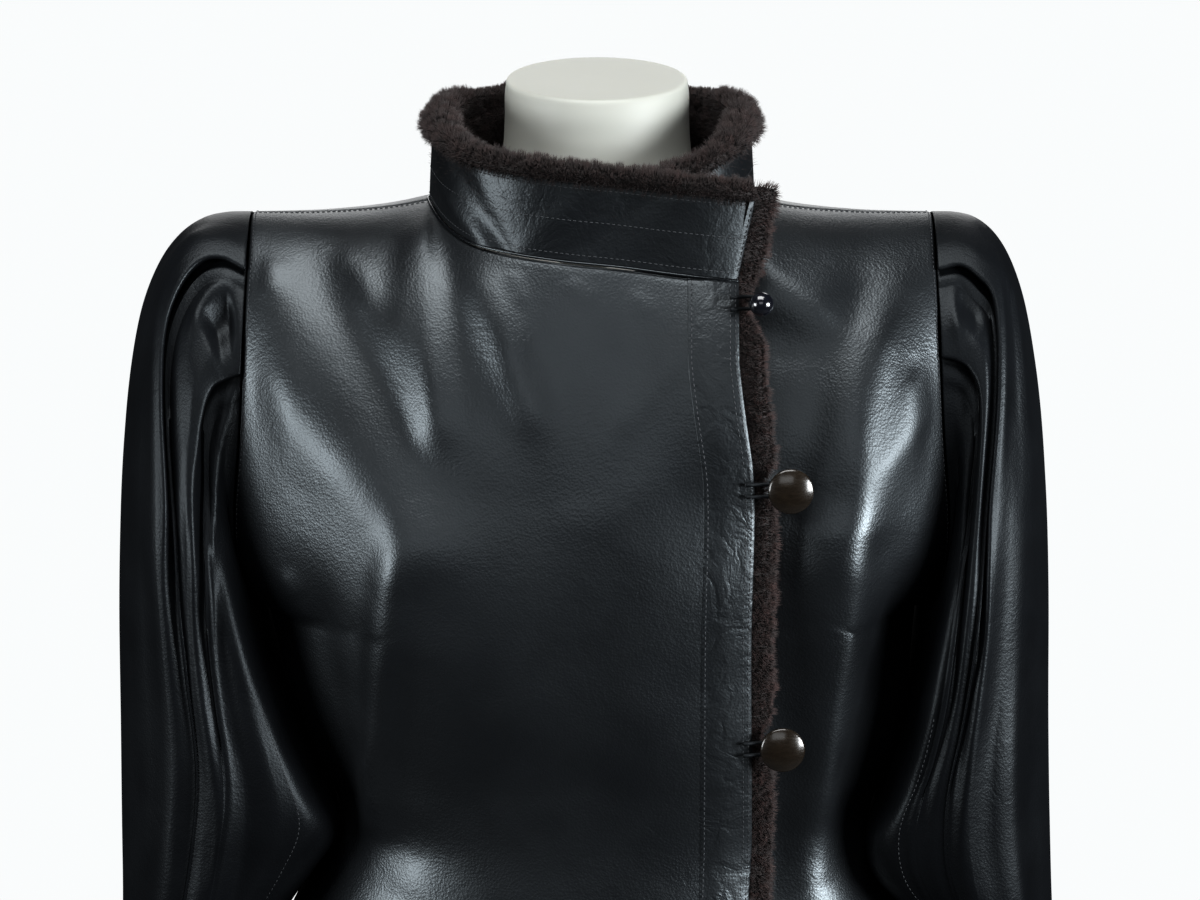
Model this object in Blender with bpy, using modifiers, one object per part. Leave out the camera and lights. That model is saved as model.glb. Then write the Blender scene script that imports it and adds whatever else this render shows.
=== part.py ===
"""A fur-trimmed leather coat on a limbless dress form with its stand. Metres, +Z up, the front towards -Y.

The coat is cut the way the real one is: a right front that laps over a left front, a back, two sleeves
with pleated heads, a stand collar, a stitched front band, and fur inside the collar and along the front edge.
Every cloth wall is an open surface, worked out from a few sections and folds, and then given its thickness.
"""

from collections import namedtuple

import bpy
import numpy as np

# ---------------------------------------------------------------- driving dimensions
WALL = 0.0020  # thickness of the leather
SEAM_HALF_GAP = 0.0005  # each side of the side and shoulder seams
HEM_HEIGHT = 0.400
UNDERARM_HEIGHT = 1.158
ARCH_HEIGHT = 1.245  # the cloth starts to turn over the shoulders here
SHOULDER_HEIGHT = 1.3862
NECK_X = 0.094  # the neck point of the shoulder seam, from the middle
SHOULDER_X = 0.200

ARMHOLE_FRONT = 0.076  # reach of the armhole forward and back of the shoulder seam
ARMHOLE_BACK = 0.080
ARMHOLE_CLEAR = 0.0015  # the sleeve starts this far outside the armhole edge
UNDERARM_LIFT = 0.0018  # and this far above it at the underarm
FLARE_FROM = 0.55  # share of a body piece's width from which it flares out to the armhole seam
NORMAL_STEP = 0.002  # of a level and of an angle, for the slopes that give the cloth's normals

UNDER_EDGE_X = -0.015  # free edge of the left front, hidden by the lap
LAP_DROP = 0.0173  # the left front lies this far inside the right front under the lap
LAP_DROP_X = (0.104, 0.152)  # and rises to the common surface between these two x
LEFT_FOLDS_X = (0.085, 0.130)  # no folds under the lap
LAP_LIFT = 0.018  # the lap's upper corner stands this far off the body
LAP_LIFT_X = (0.015, 0.095)  # the lift grows between these two x
LAP_LIFT_Z = (1.200, 1.340)  # and between these heights
LAP_DROP_Z = (1.315, 1.380)  # the drop moves towards the middle between these heights
LAP_DROP_SHIFT = 0.058

BAND_WIDTH = 0.0285
BAND_THICKNESS = 0.0012
BAND_CLEAR = 0.0003

COLLAR_HEIGHT = 0.0445  # leather, at the front
COLLAR_LOWER_BEHIND = 0.0060
COLLAR_LOWER_BESIDE = 0.0065
COLLAR_BEHIND_Y = (-0.080, 0.060)
COLLAR_BESIDE_Y = -0.015
COLLAR_BESIDE_WIDTH = 0.045
COLLAR_LEAN = 0.0045  # inwards at the top, beside and behind the neck
FUR_INSIDE = -0.009  # the pile further in than this keeps its size all round
COLLAR_SEAM_CLEAR = 0.0012
FUR_TALLER_BESIDE = 0.8  # the fur over the rim, against its height at the front
FUR_TALLER_BEHIND = 0.7
FUR_FULLER_BESIDE = 0.5
COLLAR_UNDER_END_X = 0.026  # the collar's hidden end
COLLAR_FUR_START = 0.0078  # along the collar, from its front end
COLLAR_TIP = 0.010  # the collar's front end leans outwards by this much at the top

STRIP_HALF_WIDTH = 0.0110  # fur strip along the front edge
STRIP_HALF_DEPTH = 0.0054
STRIP_OUT = 0.0050  # its middle lies this far beyond the leather's edge
STRIP_BEHIND = 0.0076  # and this far behind the leather's middle
STRIP_PINCH = 0.45  # the strip is narrower behind each button loop

BUTTON_RADIUS = 0.0127
BALL_RADIUS = 0.0068
SHANK_RADIUS = 0.0020
SHANK_CLEAR = 0.0008
LOOP_RADIUS = 0.0011
LOOP_GRIP = 0.0045  # the loop's ends lie this far in from the edge

FORM_CLEAR = 0.0016  # the coat's shoulders lie this far off the form
FORM_SHOULDER_X = 0.178
FORM_BOTTOM = 0.800
NECK_MIDDLE_X = 0.0030
NECK_TILT = np.radians(11.0)
POLE_RADIUS = 0.016
BASE_RADIUS = 0.170
BASE_THICKNESS = 0.014
REST_GAP = 0.0003

# The cloth body: half its width at the side seams, its reach forward and back of them,
# how square the section is, and how far its middle lies to one side.
Section = namedtuple("Section", "height half_width front back square middle")
BODY = (
    Section(0.400, 0.280, 0.214, 0.206, 2.25, 0.000),
    Section(0.550, 0.262, 0.197, 0.189, 2.25, 0.000),
    Section(0.700, 0.242, 0.179, 0.172, 2.30, 0.000),
    Section(0.800, 0.2265, 0.165, 0.160, 2.30, 0.000),
    Section(0.880, 0.2110, 0.152, 0.146, 2.35, 0.000),
    Section(0.940, 0.1950, 0.141, 0.128, 2.35, 0.002),
    Section(0.976, 0.1800, 0.1345, 0.115, 2.35, 0.004),
    Section(1.005, 0.1640, 0.1310, 0.105, 2.35, 0.004),
    Section(1.030, 0.1590, 0.1300, 0.101, 2.35, 0.008),
    Section(1.060, 0.1710, 0.1330, 0.102, 2.35, 0.008),
    Section(1.100, 0.1830, 0.1395, 0.107, 2.30, 0.005),
    Section(1.130, 0.1880, 0.1430, 0.112, 2.25, 0.002),
    Section(1.158, 0.1920, 0.1465, 0.116, 2.20, 0.000),
    Section(1.200, 0.1970, 0.1480, 0.120, 2.10, 0.000),
    Section(1.245, 0.2000, 0.1420, 0.121, 2.00, 0.000),
    Section(1.300, 0.2000, 0.1350, 0.119, 2.00, 0.000),
    Section(1.400, 0.2000, 0.1300, 0.115, 2.00, 0.000),
)

# Height of the coat's top ridge over the shoulders, against the distance from the middle.
Point = namedtuple("Point", "x height")
RIDGE = (
    Point(0.094, 1.3965),
    Point(0.115, 1.3920),
    Point(0.155, 1.3875),
    Point(0.200, 1.3862),
    Point(0.240, 1.3862),
)
NECK_RIDGE_RISE = 0.070  # the ridge's unseen rise towards the middle of the neck

# Neckline of each front: its height against the distance towards its own shoulder.
NECKLINE = (
    Point(-0.1000, 1.3535),
    Point(-0.0815, 1.3560),
    Point(-0.0420, 1.3610),
    Point(-0.0150, 1.3645),
    Point(0.0200, 1.3680),
    Point(0.0500, 1.3720),
    Point(0.0710, 1.3770),
    Point(0.0845, 1.3850),
    Point(0.0940, 1.3948),
)

# Turn of the back's neckline over the ridge, in degrees from the level.
Turn = namedtuple("Turn", "place degrees")
BACK_NECK = (
    Turn(0.000, 50.5),
    Turn(0.040, 54.5),
    Turn(0.070, 64.5),
    Turn(0.086, 81.0),
    Turn(0.094, 98.0),
)
SEAM_TURN_AT_NECK = 82.0  # the shoulder seam lies forward of the ridge here, and on it at the shoulder

# x of the armhole seam, against the degrees round it from the top.
ArmholeX = namedtuple("ArmholeX", "degrees x")
ARMHOLE_X = (
    ArmholeX(0.0, 0.2000),
    ArmholeX(45.0, 0.1985),
    ArmholeX(90.0, 0.2010),
    ArmholeX(125.0, 0.2065),
    ArmholeX(152.0, 0.2040),
    ArmholeX(180.0, 0.1920),
)

# x of the right front's free edge, which laps over the left front.
LAP_EDGE = (
    Point(0.1000, 0.400),
    Point(0.0900, 0.900),
    Point(0.0885, 1.000),
    Point(0.0890, 1.100),
    Point(0.0895, 1.170),
    Point(0.0905, 1.245),
    Point(0.0850, 1.320),
    Point(0.0820, 1.356),
)

# The largest folds of the fronts and the back: a soft ridge, or a trough where height is negative.
Fold = namedtuple("Fold", "x0 z0 x1 z1 width height")
RIGHT_FOLDS = (
    Fold(-0.105, 1.205, -0.100, 1.190, 0.050, 0.0080),
    Fold(-0.108, 1.190, -0.126, 1.045, 0.012, 0.0055),
    Fold(-0.150, 1.160, -0.142, 1.055, 0.014, -0.0050),
    Fold(-0.178, 1.290, -0.100, 1.215, 0.020, 0.0060),
    Fold(-0.150, 1.345, -0.095, 1.265, 0.018, -0.0045),
    Fold(-0.092, 1.375, -0.088, 1.280, 0.012, 0.0040),
    Fold(-0.060, 1.350, -0.035, 1.290, 0.012, 0.0030),
)
LEFT_FOLDS = (
    Fold(0.135, 1.205, 0.130, 1.190, 0.045, 0.0060),
    Fold(0.140, 1.190, 0.130, 1.010, 0.012, 0.0050),
    Fold(0.172, 1.155, 0.155, 1.050, 0.014, -0.0050),
    Fold(0.182, 1.285, 0.138, 1.210, 0.018, 0.0055),
    Fold(0.150, 1.335, 0.122, 1.250, 0.016, -0.0040),
)
BACK_FOLDS = (
    Fold(-0.150, 1.290, -0.090, 1.180, 0.022, 0.0050),
    Fold(0.155, 1.285, 0.095, 1.170, 0.024, 0.0045),
    Fold(-0.070, 1.160, -0.085, 1.020, 0.016, -0.0045),
    Fold(0.060, 1.170, 0.078, 1.010, 0.018, -0.0050),
    Fold(0.004, 1.120, -0.006, 0.960, 0.020, 0.0045),
)

# Flutes of the skirt: waves round the body that grow towards the hem.
Wave = namedtuple("Wave", "count size phase")
SKIRT_WAVES = (Wave(5, 0.0055, 0.4), Wave(8, 0.0070, 1.9), Wave(13, 0.0025, 4.2))
WAVES_START = 0.940

# Sleeve sections from the armhole to the cuff: each ring's outer end, its inner end's distance off
# the body's side, its reach forward and back, how far it hangs forward, and how far the right and the
# left sleeve press in over the body's side.
Ring = namedtuple("Ring", "out_x out_z clear in_z front back hang press_right press_left")
SLEEVE = (
    Ring(0.2000, 1.3862, 0.0000, 1.1580, 0.0760, 0.0800, 0.000, 0.000, 0.000),
    Ring(0.2150, 1.3858, 0.0030, 1.1566, 0.0778, 0.0815, 0.000, 0.000, 0.000),
    Ring(0.2290, 1.3825, 0.0045, 1.1522, 0.0797, 0.0833, 0.000, 0.000, 0.004),
    Ring(0.2425, 1.3735, 0.0050, 1.1460, 0.0820, 0.0850, 0.001, 0.004, 0.014),
    Ring(0.2540, 1.3580, 0.0048, 1.1380, 0.0845, 0.0866, 0.002, 0.014, 0.025),
    Ring(0.2635, 1.3350, 0.0044, 1.1280, 0.0868, 0.0880, 0.003, 0.024, 0.034),
    Ring(0.2700, 1.3050, 0.0040, 1.1160, 0.0885, 0.0890, 0.004, 0.029, 0.040),
    Ring(0.2745, 1.2680, 0.0036, 1.1000, 0.0890, 0.0890, 0.006, 0.030, 0.041),
    Ring(0.2775, 1.2200, 0.0033, 1.0800, 0.0885, 0.0885, 0.008, 0.029, 0.039),
    Ring(0.2790, 1.1550, 0.0035, 1.0520, 0.0870, 0.0875, 0.011, 0.027, 0.033),
    Ring(0.2790, 1.0900, 0.0051, 1.0270, 0.0850, 0.0860, 0.015, 0.0198, 0.0255),
    Ring(0.2790, 1.0350, 0.0052, 1.0010, 0.0820, 0.0840, 0.017, 0.010, 0.017),
    Ring(0.2790, 0.9850, 0.0056, 0.9740, 0.0780, 0.0810, 0.018, 0.003, 0.007),
    Ring(0.2805, 0.9400, 0.0062, 0.9400, 0.0730, 0.0760, 0.018, 0.002, 0.002),
    Ring(0.2835, 0.8800, 0.0078, 0.8820, 0.0660, 0.0680, 0.020, 0.000, 0.000),
    Ring(0.2870, 0.8300, 0.0090, 0.8320, 0.0590, 0.0610, 0.022, 0.000, 0.000),
    Ring(0.2900, 0.7900, 0.0095, 0.7900, 0.0540, 0.0560, 0.024, 0.000, 0.000),
)
PRESS_PLACE = 138.0  # degrees round the ring
PRESS_WIDTH = 27.0
LEFT_SLEEVE_TRIM = 0.010  # the left sleeve's outer line runs this much further in

# Pleats of the sleeve head: the place of each lip round the seam and lower down the head, in degrees.
Pleat = namedtuple("Pleat", "seam head height")
SLEEVE_PLEATS = (
    Pleat(40.0, 47.0, 0.0105),
    Pleat(73.0, 80.0, 0.0100),
    Pleat(287.0, 280.0, 0.0090),
    Pleat(320.0, 313.0, 0.0095),
)
PLEAT_HALF_STEP = 1.9  # degrees from the lip to the lip's shadow, halved
PLEAT_REACH = 24.0  # degrees: a pleat's rise and hollow die out this far from its lip
PLEAT_AT_SEAM = 0.42  # share of a pleat's height at the armhole seam
PLEAT_FULL_ROW = 3.0  # the ring at which it has its whole height
PLEAT_FADE, PLEAT_FADE_ROW, PLEAT_FADE_ROWS = 0.85, 6.0, 4.5  # share lost, from which ring, over how many
PLEAT_END_ROW, PLEAT_END_ROWS = 12.0, 3.0  # the rest is lost from this ring on, over so many
SLEEVE_FOLDS = (  # a fold's place round the sleeve above and below, its rows, its width, its height
    (62.0, 70.0, 6.0, 15.0, 11.0, 0.0050),
    (101.0, 92.0, 5.0, 15.0, 12.0, 0.0045),
    (24.0, 30.0, 7.0, 15.0, 10.0, 0.0035),
    (255.0, 265.0, 6.0, 15.0, 13.0, 0.0045),
    (305.0, 300.0, 7.0, 15.0, 11.0, 0.0040),
)

SEAT_STEPS_UP, SEAT_STEPS_ACROSS = 40, 8  # from one of the front's corners to the next, to seat a button

# Buttons down the front: height, and distance beyond the lap's edge.
Button = namedtuple("Button", "height beyond")
BUTTONS = (
    Button(1.3465, 0.0125),
    Button(1.2440, 0.0202),
    Button(1.0945, 0.0176),
    Button(0.9450, 0.0185),
    Button(0.7955, 0.0185),
)

# The form below its shoulders.
FORM = (
    Section(0.800, 0.118, 0.078, 0.083, 2.2, 0.0),
    Section(0.806, 0.136, 0.095, 0.102, 2.2, 0.0),
    Section(0.830, 0.156, 0.112, 0.122, 2.2, 0.0),
    Section(0.890, 0.164, 0.112, 0.124, 2.2, 0.0),
    Section(0.960, 0.142, 0.098, 0.100, 2.2, 0.0),
    Section(1.030, 0.122, 0.090, 0.082, 2.2, 0.0),
    Section(1.100, 0.136, 0.102, 0.087, 2.2, 0.0),
    Section(1.180, 0.156, 0.121, 0.095, 2.1, 0.0),
    Section(1.245, 0.178, 0.116, 0.098, 2.0, 0.0),
)
FORM_TURNS = (14.0, 28.0, 42.0, 56.0, 69.0, 80.0, 87.0)  # degrees up over the form's shoulders
NECK_PROFILE = (
    Point(0.0720, 1.350),
    Point(0.0695, 1.388),
    Point(0.0640, 1.397),
    Point(0.0595, 1.406),
    Point(0.0560, 1.420),
    Point(0.0543, 1.440),
    Point(0.0540, 1.458),
    Point(0.0530, 1.4655),
)
NECK_SIDES = 32


# ---------------------------------------------------------------- curves
def column(table, name):
    return np.array([getattr(row, name) for row in table], float)


def smooth_through(where, places, values):
    """Cubic curve through a table's rows, each row's slope taken from its neighbours."""
    slope = np.gradient(values, places)
    where = np.clip(where, places[0], places[-1])
    row = np.clip(np.searchsorted(places, where) - 1, 0, len(places) - 2)
    step = places[row + 1] - places[row]
    t = (where - places[row]) / step
    return (
        (1 + 2 * t) * (1 - t) ** 2 * values[row]
        + t * (1 - t) ** 2 * step * slope[row]
        + t**2 * (3 - 2 * t) * values[row + 1]
        + t**2 * (t - 1) * step * slope[row + 1]
    )


def look_up(table, place_name, value_name, where):
    return smooth_through(where, column(table, place_name), column(table, value_name))


def ease(t):
    """0 below 0, 1 above 1, and smooth between."""
    t = np.clip(t, 0.0, 1.0)
    return t * t * (3 - 2 * t)


def rise_between(value, limits):
    return ease((value - limits[0]) / (limits[1] - limits[0]))


def unit(vectors):
    return vectors / np.maximum(np.linalg.norm(vectors, axis=-1, keepdims=True), 1e-12)


def grid_normals(points):
    """Normals of a grid of points, from the steps along its rows and its columns."""
    along = np.gradient(points, axis=1)
    up = np.gradient(points, axis=0)
    return unit(np.cross(along, up))


# ---------------------------------------------------------------- the cloth body
def ridge_height(x):
    """Height of the coat's top line over the shoulders, rising to the unseen middle of the neck."""
    away = np.abs(x)
    inside = np.clip(1 - (away / NECK_X) ** 2, 0, None) ** 1.5
    return look_up(RIDGE, "x", "height", away) + NECK_RIDGE_RISE * inside


def seam_turn(x):
    share = np.clip((np.abs(x) - NECK_X) / (SHOULDER_X - NECK_X), 0, 1)
    return np.radians(SEAM_TURN_AT_NECK + (90 - SEAM_TURN_AT_NECK) * share)


def front_turn(across):
    """Angle, from the level, at which a front ends at its neckline or its shoulder seam."""
    share = (look_up(NECKLINE, "x", "height", across) - ARCH_HEIGHT) / (ridge_height(across) - ARCH_HEIGHT)
    neck = np.arcsin(np.clip(share, 0, np.sin(np.radians(SEAM_TURN_AT_NECK))))
    return np.where(across < NECK_X, neck, seam_turn(across))


def back_turn(across):
    neck = np.radians(look_up(BACK_NECK, "place", "degrees", np.abs(across)))
    return np.where(np.abs(across) < NECK_X, neck, np.pi - seam_turn(across))


def armhole_angle(height):
    """Angle round the armhole, from the top, at which its edge has this height."""
    middle = (SHOULDER_HEIGHT + UNDERARM_HEIGHT) / 2
    reach = (SHOULDER_HEIGHT - UNDERARM_HEIGHT) / 2
    return np.arccos(np.clip((height - middle) / reach, -1, 1))


def edge_of_row(level, turn_of, depth_name, reach):
    """Height, virtual half width, end angle and turn share of each row of a front or the back.

    Levels 0 to 1 run from the hem to the underarm, 1 to 2 to the start of the arch, 2 to 3 over the shoulder.
    """
    start_angle = armhole_angle(ARCH_HEIGHT)
    middle = (SHOULDER_HEIGHT + UNDERARM_HEIGHT) / 2
    half_height = (SHOULDER_HEIGHT - UNDERARM_HEIGHT) / 2
    low = HEM_HEIGHT + (UNDERARM_HEIGHT - HEM_HEIGHT) * np.clip(level, 0, 1)
    angle = np.pi + (start_angle - np.pi) * np.clip(level - 1, 0, 1)
    mid = middle + half_height * np.cos(angle)
    share = np.clip(level - 2, 0, 1)
    turn = np.minimum(share * turn_of(np.full_like(level, SHOULDER_X)), np.radians(88.5))
    high = ARCH_HEIGHT + (SHOULDER_HEIGHT - ARCH_HEIGHT) * np.sin(turn)
    height = np.where(level <= 1, low, np.where(level <= 2, mid, high))
    angle = np.where(level <= 1, np.pi, np.where(level <= 2, angle, armhole_angle(high)))
    square = look_up(BODY, "height", "square", height)
    depth = look_up(BODY, "height", depth_name, height) * np.cos(turn)
    ratio = np.where(level <= 1, 0, reach * np.sin(angle) / depth)
    end = np.arccos(np.clip(ratio, 0, 1) ** (square / 2))
    armhole = look_up(ARMHOLE_X, "degrees", "x", np.degrees(angle))
    half_width = look_up(BODY, "height", "half_width", height)
    flare = np.where(level <= 1, 0, armhole - half_width)
    return height, half_width / np.sin(end) ** (2 / square), end, share, square, flare


def fold_field(folds, x, z):
    """Height of the folds at x, z: each is a rounded ridge along its line, softer at both ends."""
    total = np.zeros_like(x)
    for fold in folds:
        run = np.array([fold.x1 - fold.x0, fold.z1 - fold.z0])
        length = np.hypot(*run)
        along = ((x - fold.x0) * run[0] + (z - fold.z0) * run[1]) / length**2
        across = np.abs((x - fold.x0) * run[1] - (z - fold.z0) * run[0]) / length
        beyond = np.maximum(np.maximum(-along, along - 1), 0) * length
        distance = np.hypot(across, beyond * 0.6)
        total = total + fold.height * np.exp(-((distance / fold.width) ** 2))
    return total


def skirt_waves(points):
    """The skirt's flutes, outwards on the level: the same at both sides of a side seam."""
    x, y, z = points[..., 0], points[..., 1], points[..., 2]
    around = np.arctan2(y, x)
    growth = np.clip((WAVES_START - z) / (WAVES_START - HEM_HEIGHT), 0, 1) ** 1.3
    size = growth * sum(wave.size * np.cos(wave.count * around + wave.phase) for wave in SKIRT_WAVES)
    depth = np.where(y < 0, look_up(BODY, "height", "front", z), look_up(BODY, "height", "back", z))
    half_width = look_up(BODY, "height", "half_width", z)
    outward = unit(np.stack([x / half_width**2, y / depth**2, 0 * z], axis=-1))
    return outward * size[..., None]


def body_points(side, columns, levels, turn_of, depth_name, reach, start, facing):
    """Grid of a body piece and its outward normals.

    Its sections are superellipses that turn over the shoulders, from start to the side or the armhole. The
    normals are cross products of small steps taken at one angle and at one level of the same formula.
    """

    def limits(level):
        height, width, end, share, square, flare = edge_of_row(level, turn_of, depth_name, reach)
        sine = np.clip(start(height) / width, -1, 1)
        first = np.sign(sine) * np.arcsin(np.abs(sine) ** (square / 2))
        return height, width, first, end, share, square, flare

    def place(level, angle):
        height, width, first, end, share, square, flare = limits(level)
        across = np.sign(angle) * width * np.abs(np.sin(angle)) ** (2 / square)
        across = across + flare * ease(((angle - first) / (end - first) - FLARE_FROM) / (1 - FLARE_FROM))
        turn = share * turn_of(across)
        z = np.where(level <= 2, height, ARCH_HEIGHT + (ridge_height(across) - ARCH_HEIGHT) * np.sin(turn))
        front = look_up(BODY, "height", "front", z)
        depth = np.where(turn > np.pi / 2, front, look_up(BODY, "height", depth_name, z))
        bulge = np.clip(np.cos(angle), 0, 1) ** (2 / square)
        y = facing * (depth * bulge * np.cos(turn) + SEAM_HALF_GAP)
        aside = np.clip(np.abs(across) / look_up(BODY, "height", "half_width", z), 0, 1) ** 2
        x = side * across + look_up(BODY, "height", "middle", z) * aside
        return np.stack([x, y, z], axis=-1)

    share_across = columns + 0 * levels[:, None]
    level = levels[:, None] + 0 * share_across
    _, _, first, end, _, _, _ = limits(level)
    angle = first + (end - first) * share_across
    along = place(level, angle + NORMAL_STEP) - place(level, angle - NORMAL_STEP)
    up = place(level + NORMAL_STEP, angle) - place(level - NORMAL_STEP, angle)
    return place(level, angle), unit(np.cross(along, up)) * -side * facing


def soften_at_seams(levels, columns, both_sides=False):
    """1 inside a piece, falling to 0 at its shoulder seam, neckline, armhole and side seam."""
    top = ease((3 - levels) / 0.35)
    from_side = 1 - columns
    if both_sides:
        from_side = np.minimum(columns, 1 - columns) * 2
    return top[:, None] * ease(from_side / 0.16)


def front_piece(side, columns, levels):
    """Points of the right front (side -1) or the left front (side 1)."""

    def start(height):
        edge = -look_up(LAP_EDGE, "height", "x", height)
        return edge if side < 0 else np.full_like(height, UNDER_EDGE_X)

    points, out = body_points(side, columns, levels, front_turn, "front", ARMHOLE_FRONT, start, -1)
    x, z = points[..., 0], points[..., 2]
    folds = RIGHT_FOLDS if side < 0 else LEFT_FOLDS
    move = fold_field(folds, x, z) * soften_at_seams(levels, columns)
    waves = skirt_waves(points)
    if side < 0:
        lift = LAP_LIFT * rise_between(x, LAP_LIFT_X) * rise_between(z, LAP_LIFT_Z)
        points[..., 1] -= lift
    else:
        shift = LAP_DROP_SHIFT * rise_between(z, LAP_DROP_Z)
        move = move * rise_between(x, LEFT_FOLDS_X)
        move = move - LAP_DROP * (1 - rise_between(x + shift, LAP_DROP_X))
    return points + out * move[..., None] + waves


def back_piece(columns, levels):
    """Points of the back, from the right side to the left, as two mirrored halves."""
    half = columns[columns >= 0.5] * 2 - 1
    zero = np.zeros_like
    right, right_out = body_points(1, half, levels, back_turn, "back", ARMHOLE_BACK, zero, 1)
    left, left_out = body_points(-1, half, levels, back_turn, "back", ARMHOLE_BACK, zero, 1)
    points = np.concatenate([left[:, :0:-1], right], axis=1)
    out = np.concatenate([left_out[:, :0:-1], right_out], axis=1)
    move = fold_field(BACK_FOLDS, points[..., 0], points[..., 2])
    move = move * soften_at_seams(levels, columns, both_sides=True)
    return points + out * move[..., None] + skirt_waves(points)


def neck_share(start_x, turn_of, depth_name, reach):
    """Column of a body piece that meets the neck point in its top row."""
    level = np.array([3.0])
    _, width, end, _, square, _ = edge_of_row(level, turn_of, depth_name, reach)
    sine = start_x / width
    first = np.sign(sine) * np.arcsin(np.abs(sine) ** (square / 2))
    neck = np.arcsin((NECK_X / width) ** (square / 2))
    return float(((neck - first) / (end - first))[0])


def front_neck_share(side):
    start_x = -look_up(LAP_EDGE, "height", "x", np.array([NECKLINE[1].height])) if side < 0 else UNDER_EDGE_X
    return neck_share(start_x, front_turn, "front", ARMHOLE_FRONT)


# ---------------------------------------------------------------- sleeves
def sleeve_piece(side, degrees, rows):
    """Points of a sleeve: rings from the armhole to the cuff, with pleats and long folds."""
    index = np.arange(len(SLEEVE), dtype=float)
    row = rows[:, None] + 0 * degrees[None, :]
    label = degrees[None, :] + 0 * rows[:, None]
    trim = (LEFT_SLEEVE_TRIM if side > 0 else 0.0) * ease(row / 6) * (1 - 0.6 * ease((row - 9) / 5))

    def along(name):
        return smooth_through(row, index, column(SLEEVE, name))

    head = ease(row / 6)
    seams = [0.0] + [pleat.seam for pleat in SLEEVE_PLEATS[:2]] + [180.0]
    seams += [pleat.seam for pleat in SLEEVE_PLEATS[2:]] + [360.0]
    heads = [0.0] + [pleat.head for pleat in SLEEVE_PLEATS[:2]] + [180.0]
    heads += [pleat.head for pleat in SLEEVE_PLEATS[2:]] + [360.0]
    lower = np.interp(label, seams, heads)
    angle = np.radians(label + (lower - label) * head)

    out_x, out_z = along("out_x") - trim, along("out_z")
    in_z = along("in_z") + UNDERARM_LIFT * (1 - ease(row / 2))
    body_side = look_up(BODY, "height", "half_width", in_z) + side * look_up(BODY, "height", "middle", in_z)
    in_x = body_side + along("clear")
    middle_x, middle_z = (out_x + in_x) / 2, (out_z + in_z) / 2
    cosine, sine = np.cos(angle), np.sin(angle)
    reach = np.where(sine > 0, along("front"), along("back"))

    envelope = PLEAT_AT_SEAM + (1 - PLEAT_AT_SEAM) * ease(row / PLEAT_FULL_ROW)
    envelope = envelope * (1 - PLEAT_FADE * ease((row - PLEAT_FADE_ROW) / PLEAT_FADE_ROWS))
    envelope = envelope * (1 - ease((row - PLEAT_END_ROW) / PLEAT_END_ROWS))
    move = np.zeros_like(row)
    for pleat in SLEEVE_PLEATS:
        below = (label - pleat.seam) * (1 if pleat.seam < 180 else -1)
        near = np.clip(below / PLEAT_HALF_STEP, -1, 1)
        far = np.clip(1 - (np.abs(below) - PLEAT_HALF_STEP) / PLEAT_REACH, 0, 1) ** 2
        move = move - 0.5 * pleat.height * near * np.where(np.abs(below) < PLEAT_HALF_STEP, 1, far) * envelope
    for place0, place1, row0, row1, width, height in SLEEVE_FOLDS:
        share = np.clip((row - row0) / (row1 - row0), 0, 1)
        away = label - (place0 + (place1 - place0) * share)
        grow = ease((row - row0) / 3 + 0.3)
        move = move + height * np.exp(-((away / width) ** 2)) * grow
    press = along("press_left" if side > 0 else "press_right")
    move = move + press * np.exp(-(((label - PRESS_PLACE) / PRESS_WIDTH) ** 2))

    half = np.hypot(out_x - in_x, out_z - in_z) / 2
    outward = unit(np.stack([cosine / half, sine / reach], axis=-1))
    along_ring = cosine * half + move * outward[..., 0]
    forward = sine * reach + move * outward[..., 1]
    axis_x, axis_z = (out_x - in_x) / 2 / half, (out_z - in_z) / 2 / half
    x = middle_x + along_ring * axis_x
    armhole = look_up(ARMHOLE_X, "degrees", "x", np.degrees(np.arccos(np.clip(cosine, -1, 1))))
    plain = 0.196 + 0.004 * cosine
    x = x + ARMHOLE_CLEAR * (1 - ease(row / 3)) + (armhole - plain) * (1 - ease(row / 4))
    return np.stack([side * x, -forward - along("hang"), middle_z + along_ring * axis_z], axis=-1)


def sleeve_columns():
    """Degrees round a sleeve: close together at each pleat's lip, even between them."""
    places = []
    stops = [0.0]
    for pleat in SLEEVE_PLEATS:
        stops += [pleat.seam - PLEAT_HALF_STEP, pleat.seam + PLEAT_HALF_STEP]
    stops += [360.0]
    counts = (3, 1, 3, 1, 13, 1, 3, 1, 3)
    for first, last, count in zip(stops[:-1], stops[1:], counts):
        places += list(np.linspace(first, last, count, endpoint=False))
    return np.array(places)


# ---------------------------------------------------------------- collar and fur
def neck_path(count):
    """Base line of the collar from its front end round the back to its hidden end, in even steps."""
    top = np.array([3.0])
    fine = np.linspace(0, 1, 60)
    right = front_piece(-1, fine * front_neck_share(-1), np.array([2.9, 3.0]))
    left = front_piece(1, fine * front_neck_share(1), np.array([2.9, 3.0]))
    share = neck_share(0.0, back_turn, "back", ARMHOLE_BACK)
    across = np.linspace(0.5 - share / 2, 0.5 + share / 2, 61)
    back = back_piece(across, np.array([2.9, 3.0]))
    left = left[:, left[1, :, 0] > COLLAR_UNDER_END_X]
    strips = [right, back[:, 1:-1], left[:, ::-1]]
    edge = np.concatenate([strip[1] for strip in strips])
    rise = np.concatenate([strip[1] - strip[0] for strip in strips])
    run = np.concatenate([[0], np.cumsum(np.linalg.norm(np.diff(edge, axis=0), axis=1))])
    even = np.concatenate([[0], np.linspace(COLLAR_FUR_START, run[-1], count - 1)])
    base = np.stack([np.interp(even, run, edge[:, axis]) for axis in range(3)], axis=1)
    lean = np.stack([np.interp(even, run, unit(rise)[:, axis]) for axis in range(3)], axis=1)
    return base, unit(lean), even


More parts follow.
